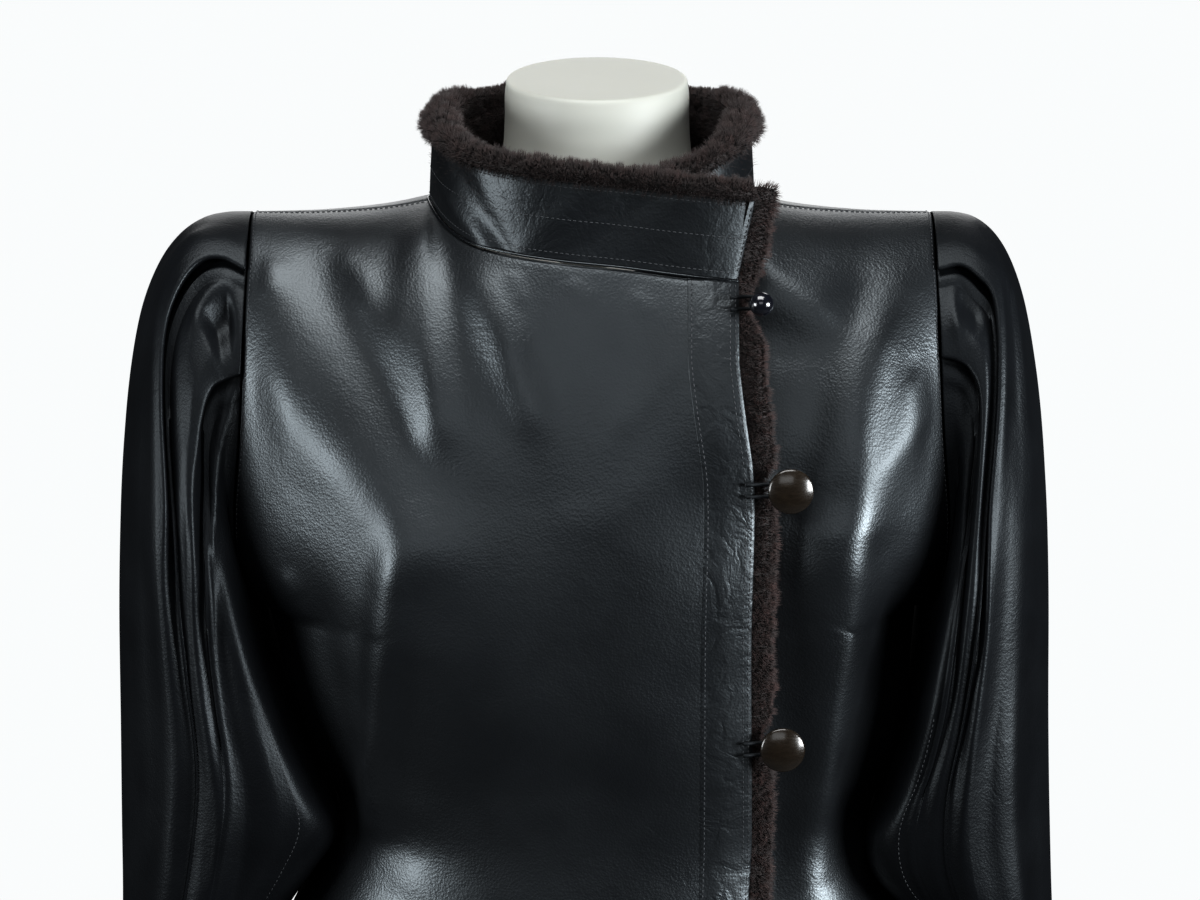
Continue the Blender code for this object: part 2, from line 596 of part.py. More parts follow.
def collar_frame(count):
    """For each station of the collar: its base, the outward direction, the way along it, and its height."""
    base, lean, run = neck_path(count)
    along = np.gradient(base, run, axis=0)
    along[:, 2] = 0
    along = unit(along)
    outward = np.stack([-along[:, 1], along[:, 0], 0 * run], axis=1)
    level = np.hypot(lean[:, 0], lean[:, 1])
    lift = level * WALL / 2 + COLLAR_SEAM_CLEAR
    base = base + np.array([0, 0, 1]) * lift[:, None]
    behind = rise_between(base[:, 1], COLLAR_BEHIND_Y)
    beside = np.exp(-(((base[:, 1] - COLLAR_BESIDE_Y) / COLLAR_BESIDE_WIDTH) ** 2))
    height = COLLAR_HEIGHT - COLLAR_LOWER_BEHIND * behind - COLLAR_LOWER_BESIDE * beside
    return base, outward, along, run, height, behind, beside


def collar_points(count, heights, outs=None):
    """Grid over the collar: shares of its height, and distances off its middle surface."""
    base, outward, along, run, height, behind, beside = collar_frame(count)
    rows = []
    front_end = 1 - ease(run / 0.070)
    for position in range(len(heights)):
        share, extra = heights[position]
        off = 0.0 if outs is None else outs[position]
        if share == 1.0 and off > FUR_INSIDE:
            extra = extra * (1 + FUR_TALLER_BESIDE * beside + FUR_TALLER_BEHIND * behind)
            off = off * (1 + FUR_FULLER_BESIDE * beside)
        rise = share * height + extra
        part = np.clip(rise / height, 0, 1.3)
        lean = -COLLAR_LEAN * behind * part**1.3
        tip = COLLAR_TIP * part * front_end
        rows.append(
            base
            + np.array([0, 0, 1]) * rise[:, None]
            + outward * (lean + off)[:, None]
            - along * tip[:, None]
        )
    return np.array(rows)


# Section of the collar's fur: share of the collar's height, further rise, and distance outward.
FurPoint = namedtuple("FurPoint", "share rise out")
COLLAR_FUR = (
    FurPoint(0.00, 0.0070, -0.0016),
    FurPoint(0.55, 0.0030, -0.0015),
    FurPoint(1.00, 0.0006, -0.0015),
    FurPoint(1.00, 0.0007, 0.0026),
    FurPoint(1.00, 0.0036, 0.0042),
    FurPoint(1.00, 0.0080, 0.0026),
    FurPoint(1.00, 0.0102, -0.0025),
    FurPoint(1.00, 0.0080, -0.0085),
    FurPoint(1.00, 0.0010, -0.0118),
    FurPoint(0.60, 0.0000, -0.0122),
    FurPoint(0.22, 0.0000, -0.0112),
    FurPoint(0.00, 0.0062, -0.0065),
)


def edge_path(levels):
    """Free edge of the right front and of the collar above it: points, ways outward, ways in."""
    two = np.array([0.0, 0.02])
    front = front_piece(-1, two, levels)
    heights = [(share, 0.0) for share in (0.30, 0.62, 0.92, 1.10)]
    collar = collar_points(90, heights)[:, :2]
    points = np.concatenate([front[:, 0], collar[:, 0]])
    outward = unit(np.concatenate([front[:, 0] - front[:, 1], collar[:, 0] - collar[:, 1]]))
    up = np.gradient(points, axis=0)
    inward = unit(np.cross(up, outward))
    return points, outward, inward


def strip_points(levels, sides):
    """Rings of the fur strip along the front edge, pinched behind each button loop."""
    points, outward, inward = edge_path(levels)
    z = points[:, 2]
    pinch = sum(np.exp(-(((z - height) / 0.011) ** 2)) for height in column(BUTTONS, "height"))
    wide = STRIP_HALF_WIDTH * (1 - STRIP_PINCH * np.clip(pinch, 0, 1))
    centre = points + outward * (STRIP_OUT - STRIP_HALF_WIDTH + wide)[:, None] + inward * STRIP_BEHIND
    rings = []
    for position in range(sides):
        turn = 2 * np.pi * position / sides
        flat = np.sign(np.cos(turn)) * abs(np.cos(turn)) ** 0.8
        rings.append(centre + outward * (wide * flat)[:, None] + inward * (STRIP_HALF_DEPTH * np.sin(turn)))
    return np.array(rings).transpose(1, 0, 2)


# ---------------------------------------------------------------- scene objects
def clear_scene():
    for item in list(bpy.data.objects):
        bpy.data.objects.remove(item, do_unlink=True)


def new_collection(name):
    collection = bpy.data.collections.new(name)
    bpy.context.scene.collection.children.link(collection)
    return collection


def new_material(name, colour, roughness):
    material = bpy.data.materials.new(name)
    material.use_nodes = True
    shader = material.node_tree.nodes["Principled BSDF"]
    shader.inputs["Base Color"].default_value = (*colour, 1.0)
    shader.inputs["Roughness"].default_value = roughness
    return material


LEATHER = ((0.030, 0.033, 0.040), 0.42)
FUR = ((0.045, 0.025, 0.020), 0.90)
HORN = ((0.060, 0.035, 0.025), 0.25)
SATIN = ((0.800, 0.790, 0.760), 0.45)
STEEL = ((0.550, 0.550, 0.560), 0.30)


def new_object(name, points, faces, look, smooth=True):
    mesh = bpy.data.meshes.new(name)
    mesh.from_pydata([tuple(map(float, point)) for point in points], [], faces)
    mesh.update()
    mesh.materials.append(new_material(name, *look))
    for polygon in mesh.polygons:
        polygon.use_smooth = smooth
    item = bpy.data.objects.new(name, mesh)
    PART.objects.link(item)
    return item


def grid_faces(row_count, column_count, closed=False, flip=False):
    faces = []
    wrap = column_count if closed else column_count - 1
    for row in range(row_count - 1):
        for place in range(wrap):
            after = (place + 1) % column_count
            face = (
                row * column_count + place,
                row * column_count + after,
                (row + 1) * column_count + after,
                (row + 1) * column_count + place,
            )
            faces.append(face[::-1] if flip else face)
    return faces


def shell(name, grid, look, closed=False, flip=False, thickness=WALL):
    """An open surface given its thickness, half to each side."""
    rows, columns = grid.shape[:2]
    item = new_object(name, grid.reshape(-1, 3), grid_faces(rows, columns, closed, flip), look)
    wall = item.modifiers.new("wall", "SOLIDIFY")
    wall.thickness = thickness
    wall.offset = 0.0
    return item


def loft(name, rings, look, flip=False):
    """A closed body through a list of rings, with a flat face at each end."""
    rows, columns = rings.shape[:2]
    faces = grid_faces(rows, columns, closed=True, flip=flip)
    first = tuple(range(columns))
    last = tuple((rows - 1) * columns + place for place in range(columns))
    faces.append(first if flip else first[::-1])
    faces.append(last[::-1] if flip else last)
    return new_object(name, rings.reshape(-1, 3), faces, look)


def turned(name, profile, look, steps, location=(0, 0, 0), tilt=0.0, flip=False):
    """A profile of radius and height turned round its own upright axis."""
    points = [(radius, 0.0, height) for radius, height in profile]
    mesh = bpy.data.meshes.new(name)
    mesh.from_pydata(points, [(place, place + 1) for place in range(len(points) - 1)], [])
    mesh.materials.append(new_material(name, *look))
    item = bpy.data.objects.new(name, mesh)
    PART.objects.link(item)
    item.location = location
    item.rotation_euler = (tilt, 0.0, 0.0)
    screw = item.modifiers.new("turn", "SCREW")
    screw.axis = "Z"
    screw.angle = 2 * np.pi
    screw.steps = steps
    screw.render_steps = steps
    screw.use_merge_vertices = True
    screw.merge_threshold = 0.00005
    screw.use_normal_calculate = True
    screw.use_normal_flip = flip
    screw.use_smooth_shade = True
    return item


def cord(name, points, radius, look):
    """A round cord along a list of points."""
    curve = bpy.data.curves.new(name, "CURVE")
    curve.dimensions = "3D"
    curve.bevel_depth = radius
    curve.bevel_resolution = 1
    curve.use_fill_caps = True
    line = curve.splines.new("POLY")
    line.points.add(len(points) - 1)
    for place, point in zip(line.points, points):
        place.co = (*map(float, point), 1.0)
    line.use_smooth = True
    curve.materials.append(new_material(name, *look))
    item = bpy.data.objects.new(name, curve)
    PART.objects.link(item)
    return item


# ---------------------------------------------------------------- the coat
LOWER_LEVELS = (0.0, 0.10, 0.20, 0.30, 0.40, 0.50, 0.59, 0.67, 0.73, 0.775, 0.803, 0.83, 0.857, 0.89, 0.94, 1.0)
MIDDLE_LEVELS = (1.35, 1.70, 2.0)
UPPER_LEVELS = (2.17, 2.34, 2.52, 2.70, 2.86, 3.0)
LEVELS = np.array(LOWER_LEVELS + MIDDLE_LEVELS + UPPER_LEVELS)


def spread(first, middle, last, before, after):
    return np.concatenate([np.linspace(first, middle, before + 1), np.linspace(middle, last, after + 1)[1:]])


def band_shares(levels, distances):
    """Columns of the right front that lie at these distances from its free edge, level by level."""
    height, width, end, _, square, _ = edge_of_row(levels, front_turn, "front", ARMHOLE_FRONT)
    edge = -look_up(LAP_EDGE, "height", "x", height)
    angles = []
    for distance in (0.0, *distances):
        sine = (edge + distance) / width
        angles.append(np.sign(sine) * np.arcsin(np.abs(sine) ** (square / 2)))
    return [(angle - angles[0]) / (end - angles[0]) for angle in angles[1:]]


def right_front_columns(levels, before, after):
    """The band's columns, then even ones to the neck point and to the side: a row for each level."""
    inner = band_shares(levels, (BAND_WIDTH / 2, BAND_WIDTH))
    rows = []
    for place in range(len(levels)):
        rest = spread(inner[1][place], front_neck_share(-1), 1, before, after)
        rows.append(np.concatenate([[0.0, inner[0][place]], rest]))
    return np.array(rows)


def left_front_columns():
    return spread(0, front_neck_share(1), 1, 8, 8)


def build_body():
    right_columns = right_front_columns(LEVELS, 13, 7)
    share = neck_share(0.0, back_turn, "back", ARMHOLE_BACK)
    half = spread(0, share, 1, 6, 7)
    back_columns = np.concatenate([0.5 - half[:0:-1] / 2, 0.5 + half / 2])
    right = front_piece(-1, right_columns, LEVELS)
    shell("right_front", right, LEATHER)
    shell("left_front", front_piece(1, left_front_columns(), LEVELS), LEATHER, flip=True)
    shell("back", back_piece(back_columns, LEVELS), LEATHER, flip=True)
    out = -grid_normals(right)
    lift = WALL / 2 + BAND_CLEAR + BAND_THICKNESS / 2
    shell("front_band", (right + out * lift)[:, :3], LEATHER, thickness=BAND_THICKNESS)


def build_sleeves():
    rows = np.arange(len(SLEEVE), dtype=float)
    shell("sleeve_right", sleeve_piece(-1, sleeve_columns(), rows), LEATHER, closed=True)
    shell("sleeve_left", sleeve_piece(1, sleeve_columns(), rows), LEATHER, closed=True, flip=True)


def build_collar():
    stations = 46
    heights = [(share, 0.0) for share in (0.0, 0.25, 0.5, 0.75, 1.0)]
    shell("collar", collar_points(stations, heights), LEATHER, flip=True)
    heights = [(point.share, point.rise) for point in COLLAR_FUR]
    outs = [point.out for point in COLLAR_FUR]
    section = collar_points(stations, heights, outs)
    loft("collar_fur", section[:, 1:-1].transpose(1, 0, 2), FUR)


def build_strip():
    levels = np.concatenate([np.linspace(0, 0.6, 9)[:-1], np.linspace(0.6, 3.0, 40)])
    loft("front_fur", strip_points(levels, 8), FUR)


# ---------------------------------------------------------------- buttons and loops
def edge_at(height):
    """Point of the right front's free edge at this height."""
    levels = np.linspace(0, 3, 301)
    points = front_piece(-1, np.array([0.0, 0.02]), levels)[:, 0]
    return np.array([np.interp(height, points[:, 2], points[:, axis]) for axis in range(3)])


def face_depth(side, x, height, reach):
    """y of a front's outer face where it stands furthest forward, within a short reach of x and height."""
    points = front_piece(side, np.linspace(0, 1, 161), np.linspace(0, 3, 361)).reshape(-1, 3)
    near = np.hypot(points[:, 0] - x, points[:, 2] - height) < reach
    return float(points[near, 1].min()) - WALL / 2


def with_steps_between(points, steps):
    """The same grid with so many even steps from each row to the next."""
    rows = np.linspace(0, len(points) - 1, (len(points) - 1) * steps + 1)
    low = np.minimum(rows.astype(int), len(points) - 2)
    share = (rows - low)[:, None, None]
    return points[low] * (1 - share) + points[low + 1] * share


def seat_depth(x, height, reach):
    """y of the left front's outer face, as built, where it stands furthest forward near x and height."""
    points = with_steps_between(front_piece(1, left_front_columns(), LEVELS), SEAT_STEPS_UP)
    points = with_steps_between(points.swapaxes(0, 1), SEAT_STEPS_ACROSS).reshape(-1, 3)
    near = np.hypot(points[:, 0] - x, points[:, 2] - height) < reach
    return float(points[near, 1].min()) - WALL / 2


def build_button(name, button, profile_of, back_of, loop_name):
    height = button.height
    edge = edge_at(height)
    x = edge[0] + button.beyond
    reach = SHANK_RADIUS + LOOP_RADIUS + REST_GAP
    band = WALL / 2 + BAND_CLEAR + BAND_THICKNESS
    loop_y = edge[1] - band - 3 * BAND_CLEAR - LOOP_RADIUS
    start = edge[0] - LOOP_GRIP
    start_y = face_depth(-1, start, height, 2 * reach) - band - BAND_CLEAR - LOOP_RADIUS
    start_y = min(start_y, loop_y)
    y = loop_y - LOOP_RADIUS - 2 * REST_GAP - back_of
    shank = seat_depth(x, height, SHANK_RADIUS) - y - SHANK_CLEAR
    turned(name, profile_of(shank), HORN, 20, (x, y, height), np.pi / 2)
    turns = np.linspace(-np.pi / 2, np.pi / 2, 7)
    bend = [(x + reach * np.cos(turn), loop_y, height + reach * np.sin(turn)) for turn in turns]
    over_edge = edge[0] + LOOP_GRIP
    lower = [(start, start_y, height - reach), (over_edge, loop_y, height - reach)]
    upper = [(over_edge, loop_y, height + reach), (start, start_y, height + reach)]
    cord(loop_name, lower + bend + upper, LOOP_RADIUS, LEATHER)


def disc_profile(shank):
    return (
        (0.0, 0.0020),
        (0.0095, 0.0024),
        (0.0120, 0.0014),
        (BUTTON_RADIUS, -0.0002),
        (0.0118, -0.0022),
        (SHANK_RADIUS, -0.0025),
        (SHANK_RADIUS, -shank),
        (0.0, -shank),
    )


def ball_profile(shank):
    turns = np.linspace(0, np.pi - np.arcsin(SHANK_RADIUS / BALL_RADIUS), 7)
    ball = [(BALL_RADIUS * np.sin(turn), BALL_RADIUS * np.cos(turn)) for turn in turns]
    ball[0] = (0.0, BALL_RADIUS)
    return (*ball, (SHANK_RADIUS, -shank), (0.0, -shank))


def build_buttons():
    build_button("ball_button", BUTTONS[0], ball_profile, BALL_RADIUS, "loop_0")
    for count, button in enumerate(BUTTONS[1:], 1):
        build_button(f"button_{count}", button, disc_profile, 0.0025, f"loop_{count}")


# ---------------------------------------------------------------- the form and its stand
def form_ring(width, front, back, square, sides):
    """Half the ring in front and half behind share their x, so the top can be closed across."""
    turn = np.pi * np.arange(sides // 2 + 1) / (sides // 2)
    x = -width * np.sign(np.cos(turn)) * np.abs(np.cos(turn)) ** (2 / square)
    bulge = np.sin(turn) ** (2 / square)
    return x, -front * bulge, back * bulge


def build_form():
    sides = 28
    half = sides // 2
    rings = []
    for section in FORM:
        x, front, back = form_ring(section.half_width, section.front, section.back, section.square, sides)
        ring = np.concatenate([np.stack([x, front], 1), np.stack([x, back], 1)[half - 1 : 0 : -1]])
        rings.append(np.column_stack([ring, np.full(len(ring), section.height)]))
    last = FORM[-1]
    for degrees in FORM_TURNS:
        turn = np.radians(degrees)
        x, front, back = form_ring(FORM_SHOULDER_X, last.front, last.back, last.square, sides)
        ridge = look_up(RIDGE, "x", "height", np.maximum(np.abs(x), NECK_X)) - WALL / 2 - FORM_CLEAR
        z = last.height + (ridge - last.height) * np.sin(turn)
        upper = np.stack([x, front * np.cos(turn), z], 1)
        behind = np.stack([x, back * np.cos(turn), z], 1)[half - 1 : 0 : -1]
        rings.append(np.concatenate([upper, behind]))
    rings = np.array(rings)
    rows, columns = rings.shape[:2]
    faces = grid_faces(rows, columns, closed=True)
    faces.append(tuple(range(columns))[::-1])
    top = (rows - 1) * columns
    faces.append((top, top + 1, top + columns - 1))
    for place in range(1, half - 1):
        faces.append((top + place, top + place + 1, top + columns - place - 1, top + columns - place))
    faces.append((top + half - 1, top + half, top + half + 1))
    torso = new_object("form_torso", rings.reshape(-1, 3), faces, SATIN)
    join = torso.modifiers.new("neck", "BOOLEAN")
    join.operation = "UNION"
    join.solver = "EXACT"
    join.object = build_neck()


def build_neck():
    """The form's neck, cut off level with its tilted cap."""
    around = 2 * np.pi * np.arange(NECK_SIDES) / NECK_SIDES
    rings = []
    for point in NECK_PROFILE:
        tilt = np.tan(NECK_TILT) * ease((point.height - 1.41) / 0.05)
        x = NECK_MIDDLE_X + point.x * np.cos(around)
        y = point.x * np.sin(around)
        rings.append(np.stack([x, y, point.height + y * tilt], 1))
    neck = loft("form_neck", np.array(rings), SATIN)
    PART.objects.unlink(neck)
    CUTTERS.objects.link(neck)
    neck.hide_render = True
    neck.display_type = "WIRE"
    return neck


def build_stand():
    bottom = BASE_THICKNESS + REST_GAP
    top = FORM_BOTTOM - REST_GAP
    pole = ((0, top), (POLE_RADIUS, top), (POLE_RADIUS, bottom), (0, bottom))
    turned("stand_pole", pole, STEEL, 20, flip=True)
    rim = 0.003
    disc = (
        (0.0, BASE_THICKNESS),
        (BASE_RADIUS - rim, BASE_THICKNESS),
        (BASE_RADIUS, BASE_THICKNESS - rim),
        (BASE_RADIUS, 0.0),
        (0.0, 0.0),
    )
    turned("stand_base", disc, STEEL, 40, flip=True)


clear_scene()
PART = new_collection("leather_coat_on_form")
CUTTERS = new_collection("cutters")
build_body()
build_sleeves()
build_collar()
build_strip()
build_buttons()
build_form()
build_stand()
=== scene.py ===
"""Finishes and modelled cloth for a fur-trimmed leather coat on a limbless dress form.

Run as a script in Blender. Metres, +Z up, the front towards -Y. Every leather panel is the formula of its
solid, worked out on a finer grid with its creases, seams and stitches; the fur is modelled strand by strand.
"""

from collections import namedtuple

import bpy
import numpy as np
from bpy.props import FloatProperty, FloatVectorProperty, IntProperty, PointerProperty
from mathutils import Matrix


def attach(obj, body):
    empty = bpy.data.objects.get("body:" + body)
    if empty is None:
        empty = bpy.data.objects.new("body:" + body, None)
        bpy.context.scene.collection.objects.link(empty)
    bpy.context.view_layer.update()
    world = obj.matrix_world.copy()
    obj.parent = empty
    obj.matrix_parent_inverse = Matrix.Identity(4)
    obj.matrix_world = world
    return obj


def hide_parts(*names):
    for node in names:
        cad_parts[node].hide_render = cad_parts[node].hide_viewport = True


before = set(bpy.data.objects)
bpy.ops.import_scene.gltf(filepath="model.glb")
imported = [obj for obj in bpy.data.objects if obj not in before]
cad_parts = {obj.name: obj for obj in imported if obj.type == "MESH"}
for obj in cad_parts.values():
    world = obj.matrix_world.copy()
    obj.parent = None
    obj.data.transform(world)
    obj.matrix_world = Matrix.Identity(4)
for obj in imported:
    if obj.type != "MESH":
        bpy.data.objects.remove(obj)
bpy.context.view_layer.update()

bl_info = {
    "name": "Leather Coat Dresser",
    "version": (1, 0, 0),
    "blender": (4, 5, 0),
    "location": "View3D > Sidebar > Coat",
    "description": "Builds the leather, fur, stitches, buttons and form of a coat round its packed solids",
    "category": "Object",
}

# ---------------------------------------------------------------- driving dimensions
WALL = 0.0020
SEAM_HALF_GAP = 0.0005
HEM_HEIGHT = 0.400
UNDERARM_HEIGHT = 1.158
ARCH_HEIGHT = 1.245
SHOULDER_HEIGHT = 1.3862
NECK_X = 0.094
SHOULDER_X = 0.200

ARMHOLE_FRONT = 0.076
ARMHOLE_BACK = 0.080
ARMHOLE_CLEAR = 0.0009
SLEEVE_AT_ARMHOLE = (0.196, 0.004)  # x of a sleeve's first ring: at its middle, and more at its top
UNDERARM_LIFT = 0.0018
FLARE_FROM = 0.55
NORMAL_STEP = 0.002
BRIDGE = 0.024  # half the height over which the normals pass the underarm
LAST_TURN = np.radians(88.5)
SOFT_TOP, SOFT_SIDE = 0.35, 0.16  # levels and columns over which folds fade towards a seam
CREASE_STOPS_FRONT, CREASE_STOPS_BACK, CREASE_STOPS_TOP = 0.05, 0.03, 0.10
FOLD_END_SOFTNESS = 0.6
CREASE_FADE = 0.3  # share of a crease's length over which it fades
CREASE_END = 0.15  # share of its height that is left at its ends
TOP_ROWS = np.array((2.9, 3.0))

UNDER_EDGE_X = -0.015
LAP_DROP = 0.0173
LAP_DROP_X = (0.104, 0.152)
LEFT_FOLDS_X = (0.085, 0.130)
LAP_LIFT = 0.018
LAP_LIFT_X = (0.015, 0.095)
LAP_LIFT_Z = (1.200, 1.340)
LAP_DROP_Z = (1.315, 1.380)
LAP_DROP_SHIFT = 0.058

BAND_WIDTH = 0.0285
BAND_THICKNESS = 0.0012
BAND_CLEAR = 0.0003
BAND_STEPS = np.array([0.8, 1.8, 3.5, 6.0, 9.0, 12.5, 16.0, 19.5, 23.0, 25.8, 27.5, 28.5]) / 1000
BAND_EDGE, BAND_EASES = 0.35, 0.5  # share of its lift by the seam, and of its width where it has all of it
BAND_ROLL = {"depth": 0.0007, "reach": 0.0012}

COLLAR_HEIGHT = 0.0445
COLLAR_LOWER_BEHIND = 0.0060
COLLAR_LOWER_BESIDE = 0.0065
COLLAR_BEHIND_Y = (-0.080, 0.060)
COLLAR_BESIDE_Y = -0.015
COLLAR_BESIDE_WIDTH = 0.045
COLLAR_LEAN = 0.0045
COLLAR_SEAM_CLEAR = 0.0012
FUR_TALLER_BESIDE = 0.8
FUR_TALLER_BEHIND = 0.7
FUR_FULLER_BESIDE = 0.5
COLLAR_UNDER_END_X = 0.026
COLLAR_FUR_START = 0.0078
COLLAR_TIP = 0.010
FUR_INSIDE = -0.009
COLLAR_STATIONS = 230
COLLAR_SPANS = 45  # even spans of the collar's base line, after its first short one
COLLAR_TIP_RUN = 0.070
COLLAR_LEAN_POWER = 1.3
COLLAR_PART_LIMIT = 1.3
COLLAR_LEVELS = (0.0, 0.02, 0.05, *np.linspace(0.1, 0.9, 17), 0.95, 0.98, 1.0)
COLLAR_SHOWN_X = 0.086  # the collar's last stretch lies hidden under the lap beyond this
COLLAR_CREASE_HEIGHT = 1.39
COLLAR_CREASES_Y = (-0.02, -0.07)
# Place at that height, lean, width and height of each soft crease of the collar.
COLLAR_CREASES = (
    (-0.072, -0.9, 0.006, 0.0016),
    (-0.058, -0.6, 0.006, -0.0014),
    (-0.022, 1.1, 0.009, 0.0005),
    (0.012, 1.4, 0.010, -0.0004),
    (0.038, 1.0, 0.009, 0.0003),
)
PIPING_RADIUS = 0.0007
PIPING_DROP = 0.0002
PIPING_UNEVEN, PIPING_RIPPLES = 0.10, (0.0058, 0.0131)

STRIP_HALF_WIDTH = 0.0110
STRIP_HALF_DEPTH = 0.0054
STRIP_OUT = 0.0050
STRIP_BEHIND = 0.0076
STRIP_PINCH = 0.45
STRIP_PINCH_REACH = 0.011
STRIP_SQUARE = 0.8
STRIP_ON_COLLAR = (0.30, 0.62, 0.92, 1.10)  # heights of its last rings, as shares of the collar's
# The rings that close the strip's top: their share of its width, and their rise.
STRIP_DOME = ((0.9, 0.0012), (0.65, 0.0024), (0.25, 0.0032))

TUFT_SIZE = 0.0046
TUFT_TILT, TUFT_HEIGHTS, TUFT_SHADES = 0.26, (0.62, 1.25), (0.35, 1.0)
STRAND_TILT, STRAND_HEIGHTS, STRAND_GATHERS = 0.20, (0.75, 1.1), (0.0, 0.32)
STRAND_WIDTHS, STRAND_SHADES, STRAND_CORNERS = (0.8, 1.3), (0.8, 1.2), (0.0, 2.094, 4.189)
# painted shade: the roots of the strands and the fur's backing get these small shares of the tip colour,
# darkening the depth of the pile
ROOT_DEPTH, ROOT_PAINTED_SHADE, BACKING_PAINTED_SHADE = 0.0006, 0.05, 0.1
CELL_KEYS = np.array([73856093, 19349663, 83492791])  # they give each cell of tufts a number of its own
PILE_BEHIND_Y = (0.015, 0.045)  # the pile grows shorter behind the neck
PILE_SHORTER_BEHIND = 0.55
COLLAR_PILE_SHADE = 0.55  # the collar's pile is darker than the front edge's
COLLAR_FUR_STATIONS, SECTION_STEPS = 170, 5
COLLAR_FUR_SEEDS, FRONT_FUR_SEED = (11, 12), 23
COLLAR_FUR_LEAN, FRONT_FUR_LEAN = np.array([0.0, 0.0, 0.25]), np.array([0.10, -0.15, -0.10])
# Where strands grow on the collar's section, by the number of the section's point: most round the rim.
FUR_RIM, FUR_RIM_WIDTH = 5.4, 2.2
FUR_INNER_PART, FUR_INNER_SHARE = (7.5, 10.8), 0.30
STRIP_SIDES = 20
STRIP_LEVELS = np.concatenate([np.linspace(0, 0.6, 40)[:-1], np.linspace(0.6, 3.0, 150)])
STRIP_FUR_LEAST, STRIP_FUR_TURN = 0.15, 0.7  # fewest strands by the cloth, and where round the ring most are
STRIP_FUR_LOW, STRIP_FUR_LOW_SHARE = 0.95, 0.45  # below this height fewer strands grow
COLLAR_BACKING, STRIP_BACKING = 0.93, 0.86  # size of each fur's backing as a share of its solid's

BALL_RADIUS = 0.0068
SHANK_RADIUS = 0.0020
SHANK_CLEAR = 0.0016
LOOP_RADIUS = 0.0011
LOOP_GRIP = 0.0045
REST_GAP = 0.0003

FORM_CLEAR = 0.0016
FORM_SHOULDER_X = 0.178
FORM_BOTTOM = 0.800
NECK_MIDDLE_X = 0.0030
NECK_TILT = np.radians(11.0)
POLE_RADIUS = 0.016
BASE_RADIUS = 0.170
BASE_THICKNESS = 0.014
FOOT_WIDER, FOOT_HEIGHT, FOOT_SLOPE = 0.006, 0.030, 0.006
POLE_ROUNDING, BASE_ROUNDING = 0.0015, 0.003
# Corners of the base's profile: radius and height.
BASE_EDGE = (
    (0.150, BASE_THICKNESS),
    (BASE_RADIUS - 0.001, 0.0105),
    (BASE_RADIUS, 0.004),
    (BASE_RADIUS - 0.002, 0.0),
)
TINY = 0.0001  # radius of the hole that a turned profile leaves in its middle

# The cloth body: half its width at the side seams, its reach forward and back of them,
# how square the section is, and how far its middle lies to one side.
Section = namedtuple("Section", "height half_width front back square middle")
BODY = (
    Section(0.400, 0.280, 0.214, 0.206, 2.25, 0.000),
    Section(0.550, 0.262, 0.197, 0.189, 2.25, 0.000),
    Section(0.700, 0.242, 0.179, 0.172, 2.30, 0.000),
    Section(0.800, 0.2265, 0.165, 0.160, 2.30, 0.000),
    Section(0.880, 0.2110, 0.152, 0.146, 2.35, 0.000),
    Section(0.940, 0.1950, 0.141, 0.128, 2.35, 0.002),
    Section(0.976, 0.1800, 0.1345, 0.115, 2.35, 0.004),
    Section(1.005, 0.1640, 0.1310, 0.105, 2.35, 0.004),
    Section(1.030, 0.1590, 0.1300, 0.101, 2.35, 0.008),
    Section(1.060, 0.1710, 0.1330, 0.102, 2.35, 0.008),
    Section(1.100, 0.1830, 0.1395, 0.107, 2.30, 0.005),
    Section(1.130, 0.1880, 0.1430, 0.112, 2.25, 0.002),
    Section(1.158, 0.1920, 0.1465, 0.116, 2.20, 0.000),
    Section(1.200, 0.1970, 0.1480, 0.120, 2.10, 0.000),
    Section(1.245, 0.2000, 0.1420, 0.121, 2.00, 0.000),
    Section(1.300, 0.2000, 0.1350, 0.119, 2.00, 0.000),
    Section(1.400, 0.2000, 0.1300, 0.115, 2.00, 0.000),
)
Point = namedtuple("Point", "x height")
RIDGE = (
    Point(0.094, 1.3965),
    Point(0.115, 1.3920),
    Point(0.155, 1.3875),
    Point(0.200, 1.3862),
    Point(0.240, 1.3862),
)
NECK_RIDGE_RISE = 0.070
NECKLINE = (
    Point(-0.1000, 1.3535),
    Point(-0.0815, 1.3560),
    Point(-0.0420, 1.3610),
    Point(-0.0150, 1.3645),
    Point(0.0200, 1.3680),
    Point(0.0500, 1.3720),
    Point(0.0710, 1.3770),
    Point(0.0845, 1.3850),
    Point(0.0940, 1.3948),
)
Turn = namedtuple("Turn", "place degrees")
BACK_NECK = (
    Turn(0.000, 50.5),
    Turn(0.040, 54.5),
    Turn(0.070, 64.5),
    Turn(0.086, 81.0),
    Turn(0.094, 98.0),
)
SEAM_TURN_AT_NECK = 82.0
ArmholeX = namedtuple("ArmholeX", "degrees x")
ARMHOLE_X = (
    ArmholeX(0.0, 0.2000),
    ArmholeX(45.0, 0.1985),
    ArmholeX(90.0, 0.2010),
    ArmholeX(125.0, 0.2065),
    ArmholeX(152.0, 0.2040),
    ArmholeX(180.0, 0.1920),
)
LAP_EDGE = (
    Point(0.1000, 0.400),
    Point(0.0900, 0.900),
    Point(0.0885, 1.000),
    Point(0.0890, 1.100),
    Point(0.0895, 1.170),
    Point(0.0905, 1.245),
    Point(0.0850, 1.320),
    Point(0.0820, 1.356),
)

